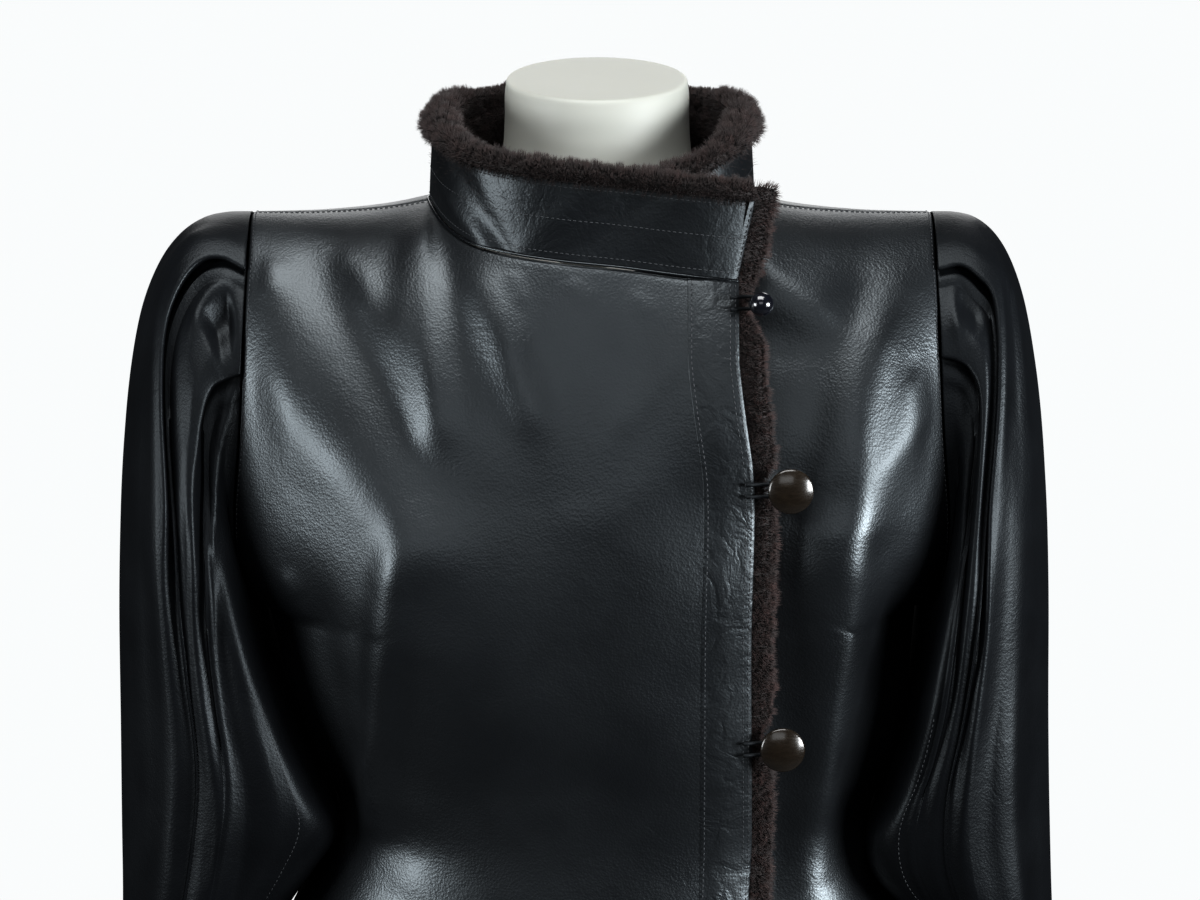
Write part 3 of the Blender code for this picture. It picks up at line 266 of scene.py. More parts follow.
# The largest folds, as in the solids.
Fold = namedtuple("Fold", "x0 z0 x1 z1 width height")
RIGHT_FOLDS = (
    Fold(-0.105, 1.205, -0.100, 1.190, 0.050, 0.0080),
    Fold(-0.108, 1.190, -0.126, 1.045, 0.012, 0.0055),
    Fold(-0.150, 1.160, -0.142, 1.055, 0.014, -0.0050),
    Fold(-0.178, 1.290, -0.100, 1.215, 0.020, 0.0060),
    Fold(-0.150, 1.345, -0.095, 1.265, 0.018, -0.0045),
    Fold(-0.092, 1.375, -0.088, 1.280, 0.012, 0.0040),
    Fold(-0.060, 1.350, -0.035, 1.290, 0.012, 0.0030),
)
LEFT_FOLDS = (
    Fold(0.135, 1.205, 0.130, 1.190, 0.045, 0.0060),
    Fold(0.140, 1.190, 0.130, 1.010, 0.012, 0.0050),
    Fold(0.172, 1.155, 0.155, 1.050, 0.014, -0.0050),
    Fold(0.182, 1.285, 0.138, 1.210, 0.018, 0.0055),
    Fold(0.150, 1.335, 0.122, 1.250, 0.016, -0.0040),
)
BACK_FOLDS = (
    Fold(-0.150, 1.290, -0.090, 1.180, 0.022, 0.0050),
    Fold(0.155, 1.285, 0.095, 1.170, 0.024, 0.0045),
    Fold(-0.070, 1.160, -0.085, 1.020, 0.016, -0.0045),
    Fold(0.060, 1.170, 0.078, 1.010, 0.018, -0.0050),
    Fold(0.004, 1.120, -0.006, 0.960, 0.020, 0.0045),
)
Wave = namedtuple("Wave", "count size phase")
SKIRT_WAVES = (Wave(5, 0.0055, 0.4), Wave(8, 0.0070, 1.9), Wave(13, 0.0025, 4.2))
WAVES_START = 0.940

# Finer creases: a path of x, height points, a width to each side and a height. A sharp one has a keen top.
Crease = namedtuple("Crease", "path width height sharp")
RIGHT_CREASES = (
    Crease(((-0.195, 1.307), (-0.139, 1.2525), (-0.085, 1.200)), 0.0210, -0.0030, 2.0),
    Crease(((-0.175, 1.158), (-0.120, 1.150), (-0.060, 1.158)), 0.0450, 0.0040, 2.0),
    Crease(((-0.100, 1.391), (-0.104, 1.365), (-0.106, 1.338), (-0.109, 1.300)), 0.0090, 0.0015, 1.8),
    Crease(((-0.088, 1.378), (-0.081, 1.352), (-0.078, 1.320), (-0.077, 1.280)), 0.0110, -0.0012, 2.0),
    Crease(((-0.068, 1.368), (-0.052, 1.350), (-0.044, 1.328), (-0.048, 1.300)), 0.0100, 0.0010, 2.0),
    Crease(((-0.150, 1.372), (-0.131, 1.356), (-0.124, 1.330)), 0.0080, 0.0012, 1.8),
    Crease(((-0.183, 1.366), (-0.184, 1.340)), 0.0070, 0.0012, 2.0),
    Crease(((-0.110, 1.244), (-0.104, 1.212), (-0.1045, 1.180), (-0.111, 1.148)), 0.0100, 0.0010, 1.8),
    Crease(((-0.1095, 1.160), (-0.116, 1.116), (-0.124, 1.086), (-0.134, 1.062)), 0.0050, 0.0018, 1.3),
    Crease(((-0.124, 1.185), (-0.128, 1.140), (-0.134, 1.092)), 0.0070, -0.0016, 2.0),
    Crease(((-0.176, 1.190), (-0.166, 1.174)), 0.0060, 0.0014, 1.6),
    Crease(((-0.045, 1.364), (-0.036, 1.342)), 0.0045, 0.0007, 1.6),
    Crease(((-0.014, 1.359), (0.001, 1.345)), 0.0050, 0.0007, 1.6),
    Crease(((0.021, 1.352), (0.036, 1.338)), 0.0050, 0.0008, 1.6),
    Crease(((0.008, 1.270), (0.033, 1.299), (0.052, 1.327)), 0.0080, 0.0009, 2.0),
    Crease(((-0.030, 1.225), (0.010, 1.232), (0.050, 1.250)), 0.0160, 0.0012, 2.0),
    Crease(((-0.060, 1.140), (-0.010, 1.120), (0.050, 1.135)), 0.0180, 0.0012, 2.0),
    Crease(((-0.070, 1.060), (-0.020, 1.075), (0.030, 1.060)), 0.0160, -0.0012, 2.0),
    Crease(((-0.120, 1.020), (-0.085, 1.000), (-0.050, 0.995)), 0.0120, 0.0014, 1.8),
    Crease(((-0.110, 0.960), (-0.060, 0.975), (-0.010, 0.960)), 0.0130, -0.0013, 2.0),
)
LEFT_CREASES = (
    Crease(((0.085, 1.160), (0.130, 1.152), (0.180, 1.160)), 0.0450, 0.0035, 2.0),
    Crease(((0.168, 1.350), (0.148, 1.300), (0.126, 1.235)), 0.0170, 0.0036, 2.0),
    Crease(((0.118, 1.332), (0.1175, 1.289), (0.116, 1.240)), 0.0090, 0.0008, 1.8),
    Crease(((0.172, 1.340), (0.162, 1.305), (0.150, 1.262), (0.140, 1.225)), 0.0090, 0.0012, 1.8),
    Crease(((0.134, 1.330), (0.133, 1.290), (0.131, 1.255)), 0.0090, -0.0005, 2.0),
    Crease(((0.197, 1.290), (0.175, 1.266), (0.150, 1.242)), 0.0070, 0.0012, 1.6),
    Crease(((0.110, 1.222), (0.134, 1.216), (0.176, 1.221)), 0.0090, 0.0012, 1.8),
    Crease(
        ((0.143, 1.190), (0.140, 1.160), (0.137, 1.120), (0.1355, 1.070), (0.134, 1.010)), 0.0050, 0.0017, 1.3
    ),
    Crease(((0.124, 1.214), (0.1275, 1.178), (0.128, 1.135)), 0.0060, 0.0010, 2.0),
    Crease(((0.150, 1.205), (0.160, 1.172), (0.164, 1.130)), 0.0070, 0.0012, 1.8),
    Crease(((0.184, 1.312), (0.177, 1.298)), 0.0040, -0.0010, 1.6),
    Crease(((0.150, 1.100), (0.146, 1.060), (0.150, 1.020)), 0.0070, -0.0010, 2.0),
)
BACK_CREASES = (
    Crease(((-0.170, 1.330), (-0.120, 1.270), (-0.085, 1.190)), 0.0090, 0.0018, 1.7),
    Crease(((0.168, 1.325), (0.115, 1.255), (0.078, 1.180)), 0.0090, 0.0018, 1.7),
    Crease(((-0.040, 1.330), (-0.030, 1.270), (-0.035, 1.200)), 0.0120, 0.0014, 2.0),
    Crease(((0.045, 1.335), (0.030, 1.260), (0.036, 1.190)), 0.0110, -0.0012, 2.0),
    Crease(((-0.110, 1.140), (-0.100, 1.060), (-0.115, 0.990)), 0.0060, 0.0018, 1.3),
    Crease(((0.108, 1.150), (0.098, 1.070), (0.112, 0.985)), 0.0060, 0.0018, 1.3),
    Crease(((-0.060, 1.045), (0.000, 1.030), (0.060, 1.048)), 0.0090, -0.0014, 1.8),
    Crease(((-0.075, 1.010), (-0.010, 0.998), (0.070, 1.012)), 0.0080, 0.0013, 1.8),
    Crease(((-0.020, 1.230), (0.010, 1.140), (0.004, 1.070)), 0.0110, 0.0014, 2.0),
)

# Sleeve sections from the armhole to the cuff.
Ring = namedtuple("Ring", "out_x out_z clear in_z front back hang press_right press_left")
SLEEVE = (
    Ring(0.2000, 1.3862, 0.0000, 1.1580, 0.0760, 0.0800, 0.000, 0.000, 0.000),
    Ring(0.2150, 1.3858, 0.0030, 1.1566, 0.0778, 0.0815, 0.000, 0.000, 0.000),
    Ring(0.2290, 1.3825, 0.0045, 1.1522, 0.0797, 0.0833, 0.000, 0.000, 0.004),
    Ring(0.2425, 1.3735, 0.0050, 1.1460, 0.0820, 0.0850, 0.001, 0.004, 0.014),
    Ring(0.2540, 1.3580, 0.0048, 1.1380, 0.0845, 0.0866, 0.002, 0.014, 0.025),
    Ring(0.2635, 1.3350, 0.0044, 1.1280, 0.0868, 0.0880, 0.003, 0.024, 0.034),
    Ring(0.2700, 1.3050, 0.0040, 1.1160, 0.0885, 0.0890, 0.004, 0.029, 0.040),
    Ring(0.2745, 1.2680, 0.0036, 1.1000, 0.0890, 0.0890, 0.006, 0.030, 0.041),
    Ring(0.2775, 1.2200, 0.0033, 1.0800, 0.0885, 0.0885, 0.008, 0.029, 0.039),
    Ring(0.2790, 1.1550, 0.0035, 1.0520, 0.0870, 0.0875, 0.011, 0.027, 0.033),
    Ring(0.2790, 1.0900, 0.0051, 1.0270, 0.0850, 0.0860, 0.015, 0.0198, 0.0255),
    Ring(0.2790, 1.0350, 0.0052, 1.0010, 0.0820, 0.0840, 0.017, 0.010, 0.017),
    Ring(0.2790, 0.9850, 0.0056, 0.9740, 0.0780, 0.0810, 0.018, 0.003, 0.007),
    Ring(0.2805, 0.9400, 0.0062, 0.9400, 0.0730, 0.0760, 0.018, 0.002, 0.002),
    Ring(0.2835, 0.8800, 0.0078, 0.8820, 0.0660, 0.0680, 0.020, 0.000, 0.000),
    Ring(0.2870, 0.8300, 0.0090, 0.8320, 0.0590, 0.0610, 0.022, 0.000, 0.000),
    Ring(0.2900, 0.7900, 0.0095, 0.7900, 0.0540, 0.0560, 0.024, 0.000, 0.000),
)
PRESS_PLACE = 138.0
PRESS_WIDTH = 27.0
BACK_PRESS = 0.0190  # how far a sleeve presses in behind the body's side at the waist
BACK_PRESS_PLACE, BACK_PRESS_WIDTH = 217.0, 14.0
BACK_PRESS_ROW, BACK_PRESS_ROWS = 10.4, 1.3
LEFT_SLEEVE_TRIM = 0.010

# Pleats of a sleeve head. Each lip's path is given in degrees round the sleeve at these rows;
# it is folded over fully down to one row and lies open from another.
PLEAT_ROWS = (0.0, 1.0, 2.0, 3.0, 4.0, 5.0, 6.4, 8.0, 16.0)
Pleat = namedtuple("Pleat", "path height full gone")
RIGHT_PLEATS = (
    Pleat((40.0, 35.0, 34.5, 38.5, 45.0, 58.0, 71.0, 74.0, 74.0), 0.0115, 5.6, 8.2),
    Pleat((74.0, 75.0, 75.5, 80.0, 88.0, 92.0, 95.0, 92.0, 92.0), 0.0110, 2.7, 4.6),
    Pleat((287.0, 286.0, 285.0, 283.0, 281.0, 280.0, 280.0, 280.0, 280.0), 0.0095, 3.4, 6.4),
    Pleat((320.0, 322.0, 322.0, 319.0, 316.0, 313.0, 311.0, 310.0, 310.0), 0.0100, 4.2, 7.2),
)
LEFT_PLEATS = (
    Pleat((40.0, 38.0, 40.5, 44.0, 62.0, 80.0, 92.0, 97.0, 97.0), 0.0115, 5.2, 8.0),
    Pleat((69.0, 69.5, 70.5, 74.5, 92.0, 104.0, 112.0, 114.0, 114.0), 0.0110, 2.8, 4.0),
    Pleat((287.0, 286.0, 285.0, 283.0, 281.0, 280.0, 280.0, 280.0, 280.0), 0.0095, 3.2, 6.2),
    Pleat((320.0, 322.0, 322.0, 319.0, 316.0, 313.0, 311.0, 310.0, 310.0), 0.0100, 4.4, 7.4),
)
PLEAT_HALF = 6.5  # degrees: half the cloth that a pleat folds away
PLEAT_OVERLAP = 2.1  # above 1 the cloth doubles back on itself
PLEAT_REACH = 24.0
PLEAT_FACE = 0.62  # share of a pleat's cloth that turns from its inner to its outer side
PLEAT_AT_SEAM, PLEAT_GROWS = 0.42, (0, 3)  # share of its height at the armhole, and the rows it grows over
PLEAT_LEFT, PLEAT_FADES, PLEAT_ENDS = 0.15, (6.0, 10.5), (12, 15)
TRIM_GROWS, TRIM_FADES, TRIM_LOST = (0, 6), (9, 14), 0.6
FOLD_GROWS, FOLD_STARTS = 3, 0.3
PLEAT_EDGE = 1.001  # a place this many half widths off a lip still counts as in the pleat
UNDERARM_ROWS, CLEAR_ROWS, ARMHOLE_ROWS, CREASE_ROWS = 2, 3, 4, 0.6  # rows over which each of them fades
SLEEVE_RINGS = np.concatenate([np.linspace(0, 8, 62)[:-1], np.linspace(8, 16, 44)])
CUFF_STITCH_RINGS = np.array([15.50, 15.55, 15.60])
SEAM_STITCH_RINGS = np.linspace(7.4, 15.9, 160)
SLEEVE_COUNTS = (12, 22, 12, 22, 66, 20, 12, 20, 14)  # columns between and across the pleats
SEAM_DEGREES = 127.5  # place of the sleeve's seam stitches round the sleeve
SleeveFold = namedtuple("SleeveFold", "place0 place1 row0 row1 width height")
SLEEVE_FOLDS = (
    SleeveFold(62.0, 70.0, 6.0, 15.0, 11.0, 0.0050),
    SleeveFold(101.0, 92.0, 5.0, 15.0, 12.0, 0.0045),
    SleeveFold(24.0, 30.0, 7.0, 15.0, 10.0, 0.0035),
    SleeveFold(255.0, 265.0, 6.0, 15.0, 13.0, 0.0045),
    SleeveFold(305.0, 300.0, 7.0, 15.0, 11.0, 0.0040),
)
# Creases of the sleeves: paths of degrees, row points; widths in degrees.
ROW_AS_DEGREES = 9.0
RIGHT_SLEEVE_CREASES = (
    Crease(
        ((77.0, 0.2), (88.0, 0.9), (98.0, 2.5), (103.0, 4.3), (101.0, 6.9), (94.0, 8.0)), 4.0, 0.0042, 1.6
    ),
    Crease(((94.0, 8.0), (90.0, 9.2), (95.0, 10.8), (92.0, 12.5)), 5.0, 0.0030, 1.6),
    Crease(((79.0, 4.6), (81.0, 6.3), (80.0, 7.8), (78.0, 9.6)), 4.5, 0.0024, 1.8),
    Crease(((42.0, 5.7), (46.0, 7.1), (45.0, 8.6), (44.0, 11.0)), 6.0, 0.0020, 2.0),
    Crease(((58.0, 7.5), (60.0, 9.5), (62.0, 12.0)), 6.0, -0.0026, 2.0),
    Crease(((58.0, 0.3), (60.0, 1.1), (64.0, 2.0)), 8.5, -0.0095, 2.0),
    Crease(((48.0, 0.2), (47.0, 1.2), (52.0, 2.2), (62.0, 3.0)), 3.2, 0.0030, 1.8),
    Crease(((20.0, 1.5), (24.0, 3.0), (28.0, 5.0)), 4.0, 0.0016, 1.5),
    Crease(((110.0, 6.0), (106.0, 9.0), (112.0, 13.0)), 6.0, -0.0024, 2.0),
    Crease(((70.0, 11.0), (84.0, 11.8), (98.0, 11.4)), 6.0, 0.0018, 1.7),
    Crease(((60.0, 12.8), (76.0, 12.2), (92.0, 12.9)), 5.0, -0.0016, 1.8),
    Crease(((262.0, 11.2), (280.0, 11.8), (296.0, 11.2)), 6.0, 0.0020, 1.7),
    Crease(((250.0, 6.0), (256.0, 9.0), (252.0, 12.0)), 6.0, 0.0024, 1.8),
    Crease(((124.0, 6.4), (124.5, 9.0), (124.0, 12.0), (124.0, 15.9)), 3.0, -0.0012, 1.6),
)
LEFT_SLEEVE_CREASES = (
    Crease(((90.0, 1.2), (102.0, 3.2), (112.0, 5.2), (118.0, 7.0), (116.0, 9.0)), 3.6, 0.0040, 1.5),
    Crease(((96.0, 0.8), (108.0, 2.4), (120.0, 4.4)), 4.0, -0.0024, 1.8),
    Crease(((88.0, 3.6), (102.0, 6.2), (100.0, 8.2), (94.0, 9.6), (104.0, 11.2)), 5.0, 0.0026, 1.6),
    Crease(((28.0, 2.4), (31.0, 3.3), (34.0, 4.3), (43.0, 5.2), (47.0, 6.4), (46.0, 8.2)), 3.4, 0.0036, 1.3),
    Crease(((58.0, 5.5), (62.0, 7.6), (64.0, 10.0)), 6.0, -0.0026, 2.0),
    Crease(((70.0, 8.5), (72.0, 11.0), (70.0, 13.5)), 6.0, 0.0022, 1.8),
    Crease(((52.0, 0.6), (54.0, 1.6), (60.0, 2.4)), 5.0, -0.0035, 2.0),
    Crease(((47.0, 0.9), (58.0, 0.8), (66.0, 1.0)), 2.5, 0.0016, 1.6),
    Crease(((66.0, 11.2), (82.0, 11.8), (98.0, 11.2)), 6.0, 0.0018, 1.7),
    Crease(((262.0, 11.4), (280.0, 12.0), (298.0, 11.3)), 6.0, 0.0020, 1.7),
    Crease(((252.0, 6.2), (257.0, 9.2), (252.0, 12.4)), 6.0, 0.0024, 1.8),
    Crease(((124.0, 6.4), (124.5, 9.0), (124.0, 12.0), (124.0, 15.9)), 3.0, -0.0012, 1.6),
)

# Finer grids of points than the solids have.
RIM_REACH = 0.32
RIM_TURNS = (50.0, 0.0, -50.0)
EDGE_SHARES = np.array([0.0, 0.003, 0.0065, 0.011, 0.0165])
EDGE_LEVELS = np.array([0.004, 0.009, 0.015])
SHOULDER_RUN = 0.165
RIGHT_COLUMNS, LEFT_COLUMNS, BACK_COLUMNS = 84, 74, 50
BACK_COARSER = (1.25, 1.2)  # its fine and its coarse rows, against those of the fronts
HEM_LEVELS = np.array([0.0211, 0.0237, 0.0264])
SHOULDER_LEVELS = np.array([2.965, 2.975, 2.985])
ARMHOLE_SHARES = np.array([0.975, 0.9885, 0.998])
SEWN_SHOULDER = 0.985  # the column at which the rows of the shoulders and the hem end
FACE_COLUMNS, FACE_LEVELS, EDGE_STEPS = np.linspace(0, 1, 161), np.linspace(0, 3, 361), np.linspace(0, 3, 301)
BY_EDGE = np.array([0.0, 0.02])
CORD_SIDES, BUTTON_SIDES, POLE_SIDES, ROUND_SIDES = 10, 56, 48, 96
LOOP_TURNS, BALL_TURNS = 13, 30
TORSO_HEIGHTS = np.concatenate([np.linspace(0.8, 0.83, 8)[:-1], np.linspace(0.83, 1.245, 40)])
TORSO_TURNS = np.radians(np.linspace(4, 89, 22))
NECK_HEIGHTS = np.linspace(1.350, 1.4615, 46)
NECK_TILTS = (1.41, 1.46)

# Rows of stitches: each distance is from the front edge.
FRONT_STITCH_LEVELS = np.linspace(0, 2.985, 420)
BAND_ROWS, PANEL_ROW, PANEL_ROW_LIFT = (0.0022, 0.0052), 0.0262, 0.0012
STITCH_SPREAD = 0.001  # half the width of the narrow grid that gives a row its ways outwards
ARM_LEVELS = np.linspace(1.02, 2.985, 200)
COLLAR_ROWS, COLLAR_ROW_SPREAD = (0.09, 0.52, 0.93), 0.03
COLLAR_END_ROW = np.linspace(0.10, 0.92, 30)
BEAD_RINGS, BEAD_FLATNESS, BEAD_SUNK = (-0.62, 0.62), 0.8, 0.25

Button = namedtuple("Button", "height beyond")
BUTTONS = (
    Button(1.3465, 0.0125),
    Button(1.2440, 0.0202),
    Button(1.0945, 0.0176),
    Button(0.9450, 0.0185),
    Button(0.7955, 0.0185),
)
Turned = namedtuple("Turned", "radius height")
DISC_BACK = 0.0025
DISC = (
    Turned(0.00001, 0.0034),
    Turned(0.0020, 0.00335),
    Turned(0.0045, 0.0031),
    Turned(0.0070, 0.0026),
    Turned(0.0090, 0.0020),
    Turned(0.0104, 0.0014),
    Turned(0.0113, 0.0010),
    Turned(0.0119, 0.0007),
    Turned(0.0124, 0.0003),
    Turned(0.01268, -0.0004),
    Turned(0.0126, -0.0013),
    Turned(0.0120, -0.0021),
    Turned(0.0110, -DISC_BACK),
    Turned(0.0060, -DISC_BACK),
    Turned(SHANK_RADIUS, -DISC_BACK),
)
FurPoint = namedtuple("FurPoint", "share rise out")
COLLAR_FUR = (
    FurPoint(0.00, 0.0070, -0.0016),
    FurPoint(0.55, 0.0030, -0.0015),
    FurPoint(1.00, 0.0006, -0.0015),
    FurPoint(1.00, 0.0007, 0.0026),
    FurPoint(1.00, 0.0036, 0.0042),
    FurPoint(1.00, 0.0080, 0.0026),
    FurPoint(1.00, 0.0102, -0.0025),
    FurPoint(1.00, 0.0080, -0.0085),
    FurPoint(1.00, 0.0010, -0.0118),
    FurPoint(0.60, 0.0000, -0.0122),
    FurPoint(0.22, 0.0000, -0.0112),
    FurPoint(0.00, 0.0062, -0.0065),
)
FORM = (
    Section(0.800, 0.118, 0.078, 0.083, 2.2, 0.0),
    Section(0.806, 0.136, 0.095, 0.102, 2.2, 0.0),
    Section(0.830, 0.156, 0.112, 0.122, 2.2, 0.0),
    Section(0.890, 0.164, 0.112, 0.124, 2.2, 0.0),
    Section(0.960, 0.142, 0.098, 0.100, 2.2, 0.0),
    Section(1.030, 0.122, 0.090, 0.082, 2.2, 0.0),
    Section(1.100, 0.136, 0.102, 0.087, 2.2, 0.0),
    Section(1.180, 0.156, 0.121, 0.095, 2.1, 0.0),
    Section(1.245, 0.178, 0.116, 0.098, 2.0, 0.0),
)
NECK_PROFILE = (
    Point(0.0720, 1.350),
    Point(0.0695, 1.388),
    Point(0.0640, 1.397),
    Point(0.0595, 1.406),
    Point(0.0560, 1.420),
    Point(0.0543, 1.440),
    Point(0.0540, 1.458),
    Point(0.0530, 1.4655),
)
CAP = (
    Turned(0.0534, 1.4635),
    Turned(0.0528, 1.4649),
    Turned(0.0518, 1.4655),
    Turned(0.0500, 1.4657),
    Turned(0.030, 1.4657),
    Turned(0.010, 1.4657),
)

# ---------------------------------------------------------------- the studio
CAMERA_LENS = 100.5
CAMERA_AIM = np.array([0.0048, 0.0, 1.2446])
CAMERA_DISTANCE = 2.0
CAMERA_DOWN = np.radians(9.0)
EXPOSURE = 0.40
CONTRAST = 0.78
ROOM_LIGHT = 0.02
# painted shade: rays other than the camera's see the floor in this dark colour, so the leather's gloss and
# the bounce light find a dark floor
FLOOR_SHADE_IN_REFLECTIONS = (0.06, 0.062, 0.065)  # the floor as the gloss of the leather shows it
FLOOR_RADII, FLOOR_SIDES, FLOOR_HEIGHT = (0.6, 1.2, 1.8, 2.4, 3.0), 96, -0.0004
COOL, WHITE = (0.95, 0.98, 1.0), (1.0, 1.0, 1.0)
Light = namedtuple("Light", "name place aim size watts tint")
STUDIO_LIGHTS = (
    Light("left soft light", (-1.90, -0.92, 1.38), (-0.1, 0.0, 1.25), (1.0, 0.8), 27.0, COOL),
    Light("right soft light", (1.80, -1.08, 1.40), (0.1, 0.0, 1.25), (1.1, 0.8), 62.0, COOL),
    Light("front soft light", (-0.3, -2.6, 2.25), (0.0, 0.0, 1.3), (1.6, 0.9), 7.0, COOL),
    Light("top soft light", (-0.2, -0.60, 3.0), (0.0, 0.0, 1.3), (1.5, 1.0), 32.0, WHITE),
    Light("rear soft light", (0.0, 2.4, 2.4), (0.0, 0.0, 1.0), (2.0, 1.5), 16.0, WHITE),
)
# The leather of each kind of piece: size and depth of its grain, of its wrinkles and its swell,
# its roughness and its shine.
Finish = namedtuple("Finish", "grain depth wrinkle swell rough shine")
LEATHERS = {
    "panel": Finish(700.0, 0.120, 0.05, 0.32, 0.40, 0.85),
    # painted shade: the sleeves' copy of the leather has far less shine than the panels' so that they read
    # darker, standing in for the darker room at the sides
    "sleeve": Finish(700.0, 0.090, 0.05, 0.30, 0.42, 0.25),
    "band": Finish(700.0, 0.090, 0.22, 0.30, 0.42, 0.75),
    "collar": Finish(700.0, 0.090, 0.14, 0.30, 0.42, 0.50),
    "piping": Finish(620.0, 0.020, 0.04, 0.10, 0.22, 0.75),
    "cord": Finish(900.0, 0.030, 0.02, 0.05, 0.62, 0.30),
}


# ---------------------------------------------------------------- curves
def column(table, name):
    """One value of each row of a table."""
    return np.array([getattr(row, name) for row in table], float)


def smooth_through(where, places, values):
    """Cubic curve through a table's rows, each row's slope taken from its neighbours."""
    slope = np.gradient(values, places)
    where = np.clip(where, places[0], places[-1])
    row = np.clip(np.searchsorted(places, where) - 1, 0, len(places) - 2)
    step = places[row + 1] - places[row]
    t = (where - places[row]) / step
    return (
        (1 + 2 * t) * (1 - t) ** 2 * values[row]
        + t * (1 - t) ** 2 * step * slope[row]
        + t**2 * (3 - 2 * t) * values[row + 1]
        + t**2 * (t - 1) * step * slope[row + 1]
    )


def look_up(table, place_name, value_name, where):
    """A value of a table between its rows, along a smooth curve."""
    return smooth_through(where, column(table, place_name), column(table, value_name))


def body(name, height):
    """A measure of the coat's body at this height."""
    return look_up(BODY, "height", name, height)


def signed_power(values, power):
    """The power of each value's size, with its own sign."""
    return np.sign(values) * np.abs(values) ** power


def section_angle(share, square):
    """Angle at which a superellipse is this share of its half width out: arcsin of share ** (square / 2)."""
    return np.sign(share) * np.arcsin(np.abs(share) ** (square / 2))


def points_at(where, run, points):
    """Points of a path at these lengths along it."""
    return np.stack([np.interp(where, run, points[:, axis]) for axis in range(3)], axis=1)


def ease(t):
    """0 below 0, 1 above 1, and smooth between: t squared times 3 minus 2t."""
    t = np.clip(t, 0.0, 1.0)
    return t * t * (3 - 2 * t)


def rise_between(value, limits):
    """0 below the first limit, 1 above the second, and smooth between."""
    return ease((value - limits[0]) / (limits[1] - limits[0]))


def unit(vectors):
    """Each vector at length 1."""
    return vectors / np.maximum(np.linalg.norm(vectors, axis=-1, keepdims=True), 1e-12)


def grid_normals(points, closed=False):
    """Normals of a grid of points: the cross product of the steps along its rows and its columns."""
    if closed:
        return grid_normals(np.concatenate([points[:, -2:], points, points[:, :2]], axis=1))[:, 2:-2]
    return unit(np.cross(np.gradient(points, axis=1), np.gradient(points, axis=0)))


def run_along(points):
    """Length along a path up to each of its points."""
    return np.concatenate([[0.0], np.cumsum(np.linalg.norm(np.diff(points, axis=0), axis=1))])


def smooth_path(points, per_step=6):
    """A path bent smoothly through its points, each coordinate a cubic of the point's number."""
    points = np.array(points, float)
    places = np.arange(len(points), dtype=float)
    fine = np.linspace(0, len(points) - 1, (len(points) - 1) * per_step + 1)
    axes = range(points.shape[1])
    return np.stack([smooth_through(fine, places, points[:, axis]) for axis in axes], axis=1)


def crease_field(creases, x, z):
    """Sum of creases: height times exp of minus (distance / width) ** sharp, eased out at both ends."""
    total = np.zeros_like(x)
    for crease in creases:
        path = smooth_path(crease.path)
        first, step = path[:-1], np.diff(path, axis=0)
        right, up = x[..., None] - first[:, 0], z[..., None] - first[:, 1]
        t = np.clip((right * step[:, 0] + up * step[:, 1]) / (step**2).sum(axis=1), 0, 1)
        away = np.hypot(right - t * step[:, 0], up - t * step[:, 1])
        nearest = away.argmin(axis=-1)
        pick = np.take_along_axis
        distance = pick(away, nearest[..., None], -1)[..., 0]
        share = (nearest + pick(t, nearest[..., None], -1)[..., 0]) / len(first)
        fade = ease(share / CREASE_FADE) * ease((1 - share) / CREASE_FADE)
        height = crease.height * (CREASE_END + (1 - CREASE_END) * fade)
        total += height * np.exp(-((distance / crease.width) ** crease.sharp))
    return total


# ---------------------------------------------------------------- the cloth body
def ridge_height(x):
    """Height of the coat's top line over the shoulders, rising to the unseen middle of the neck."""
    away = np.abs(x)
    inside = np.clip(1 - (away / NECK_X) ** 2, 0, None) ** 1.5
    return look_up(RIDGE, "x", "height", away) + NECK_RIDGE_RISE * inside


def seam_turn(x):
    """Angle at which a shoulder seam lies: from SEAM_TURN_AT_NECK evenly to 90 degrees at its end."""
    share = np.clip((np.abs(x) - NECK_X) / (SHOULDER_X - NECK_X), 0, 1)
    return np.radians(SEAM_TURN_AT_NECK + (90 - SEAM_TURN_AT_NECK) * share)


def front_turn(across):
    """Angle, from the level, at which a front ends at its neckline or its shoulder seam."""
    share = (look_up(NECKLINE, "x", "height", across) - ARCH_HEIGHT) / (ridge_height(across) - ARCH_HEIGHT)
    neck = np.arcsin(np.clip(share, 0, np.sin(np.radians(SEAM_TURN_AT_NECK))))
    return np.where(across < NECK_X, neck, seam_turn(across))


def back_turn(across):
    """Angle, from the level, at which the back ends at its neckline or its shoulder seam."""
    neck = np.radians(look_up(BACK_NECK, "place", "degrees", np.abs(across)))
    return np.where(np.abs(across) < NECK_X, neck, np.pi - seam_turn(across))


def armhole_angle(height):
    """Angle round the armhole, from the top, at which its edge has this height."""
    middle = (SHOULDER_HEIGHT + UNDERARM_HEIGHT) / 2
    reach = (SHOULDER_HEIGHT - UNDERARM_HEIGHT) / 2
    return np.arccos(np.clip((height - middle) / reach, -1, 1))


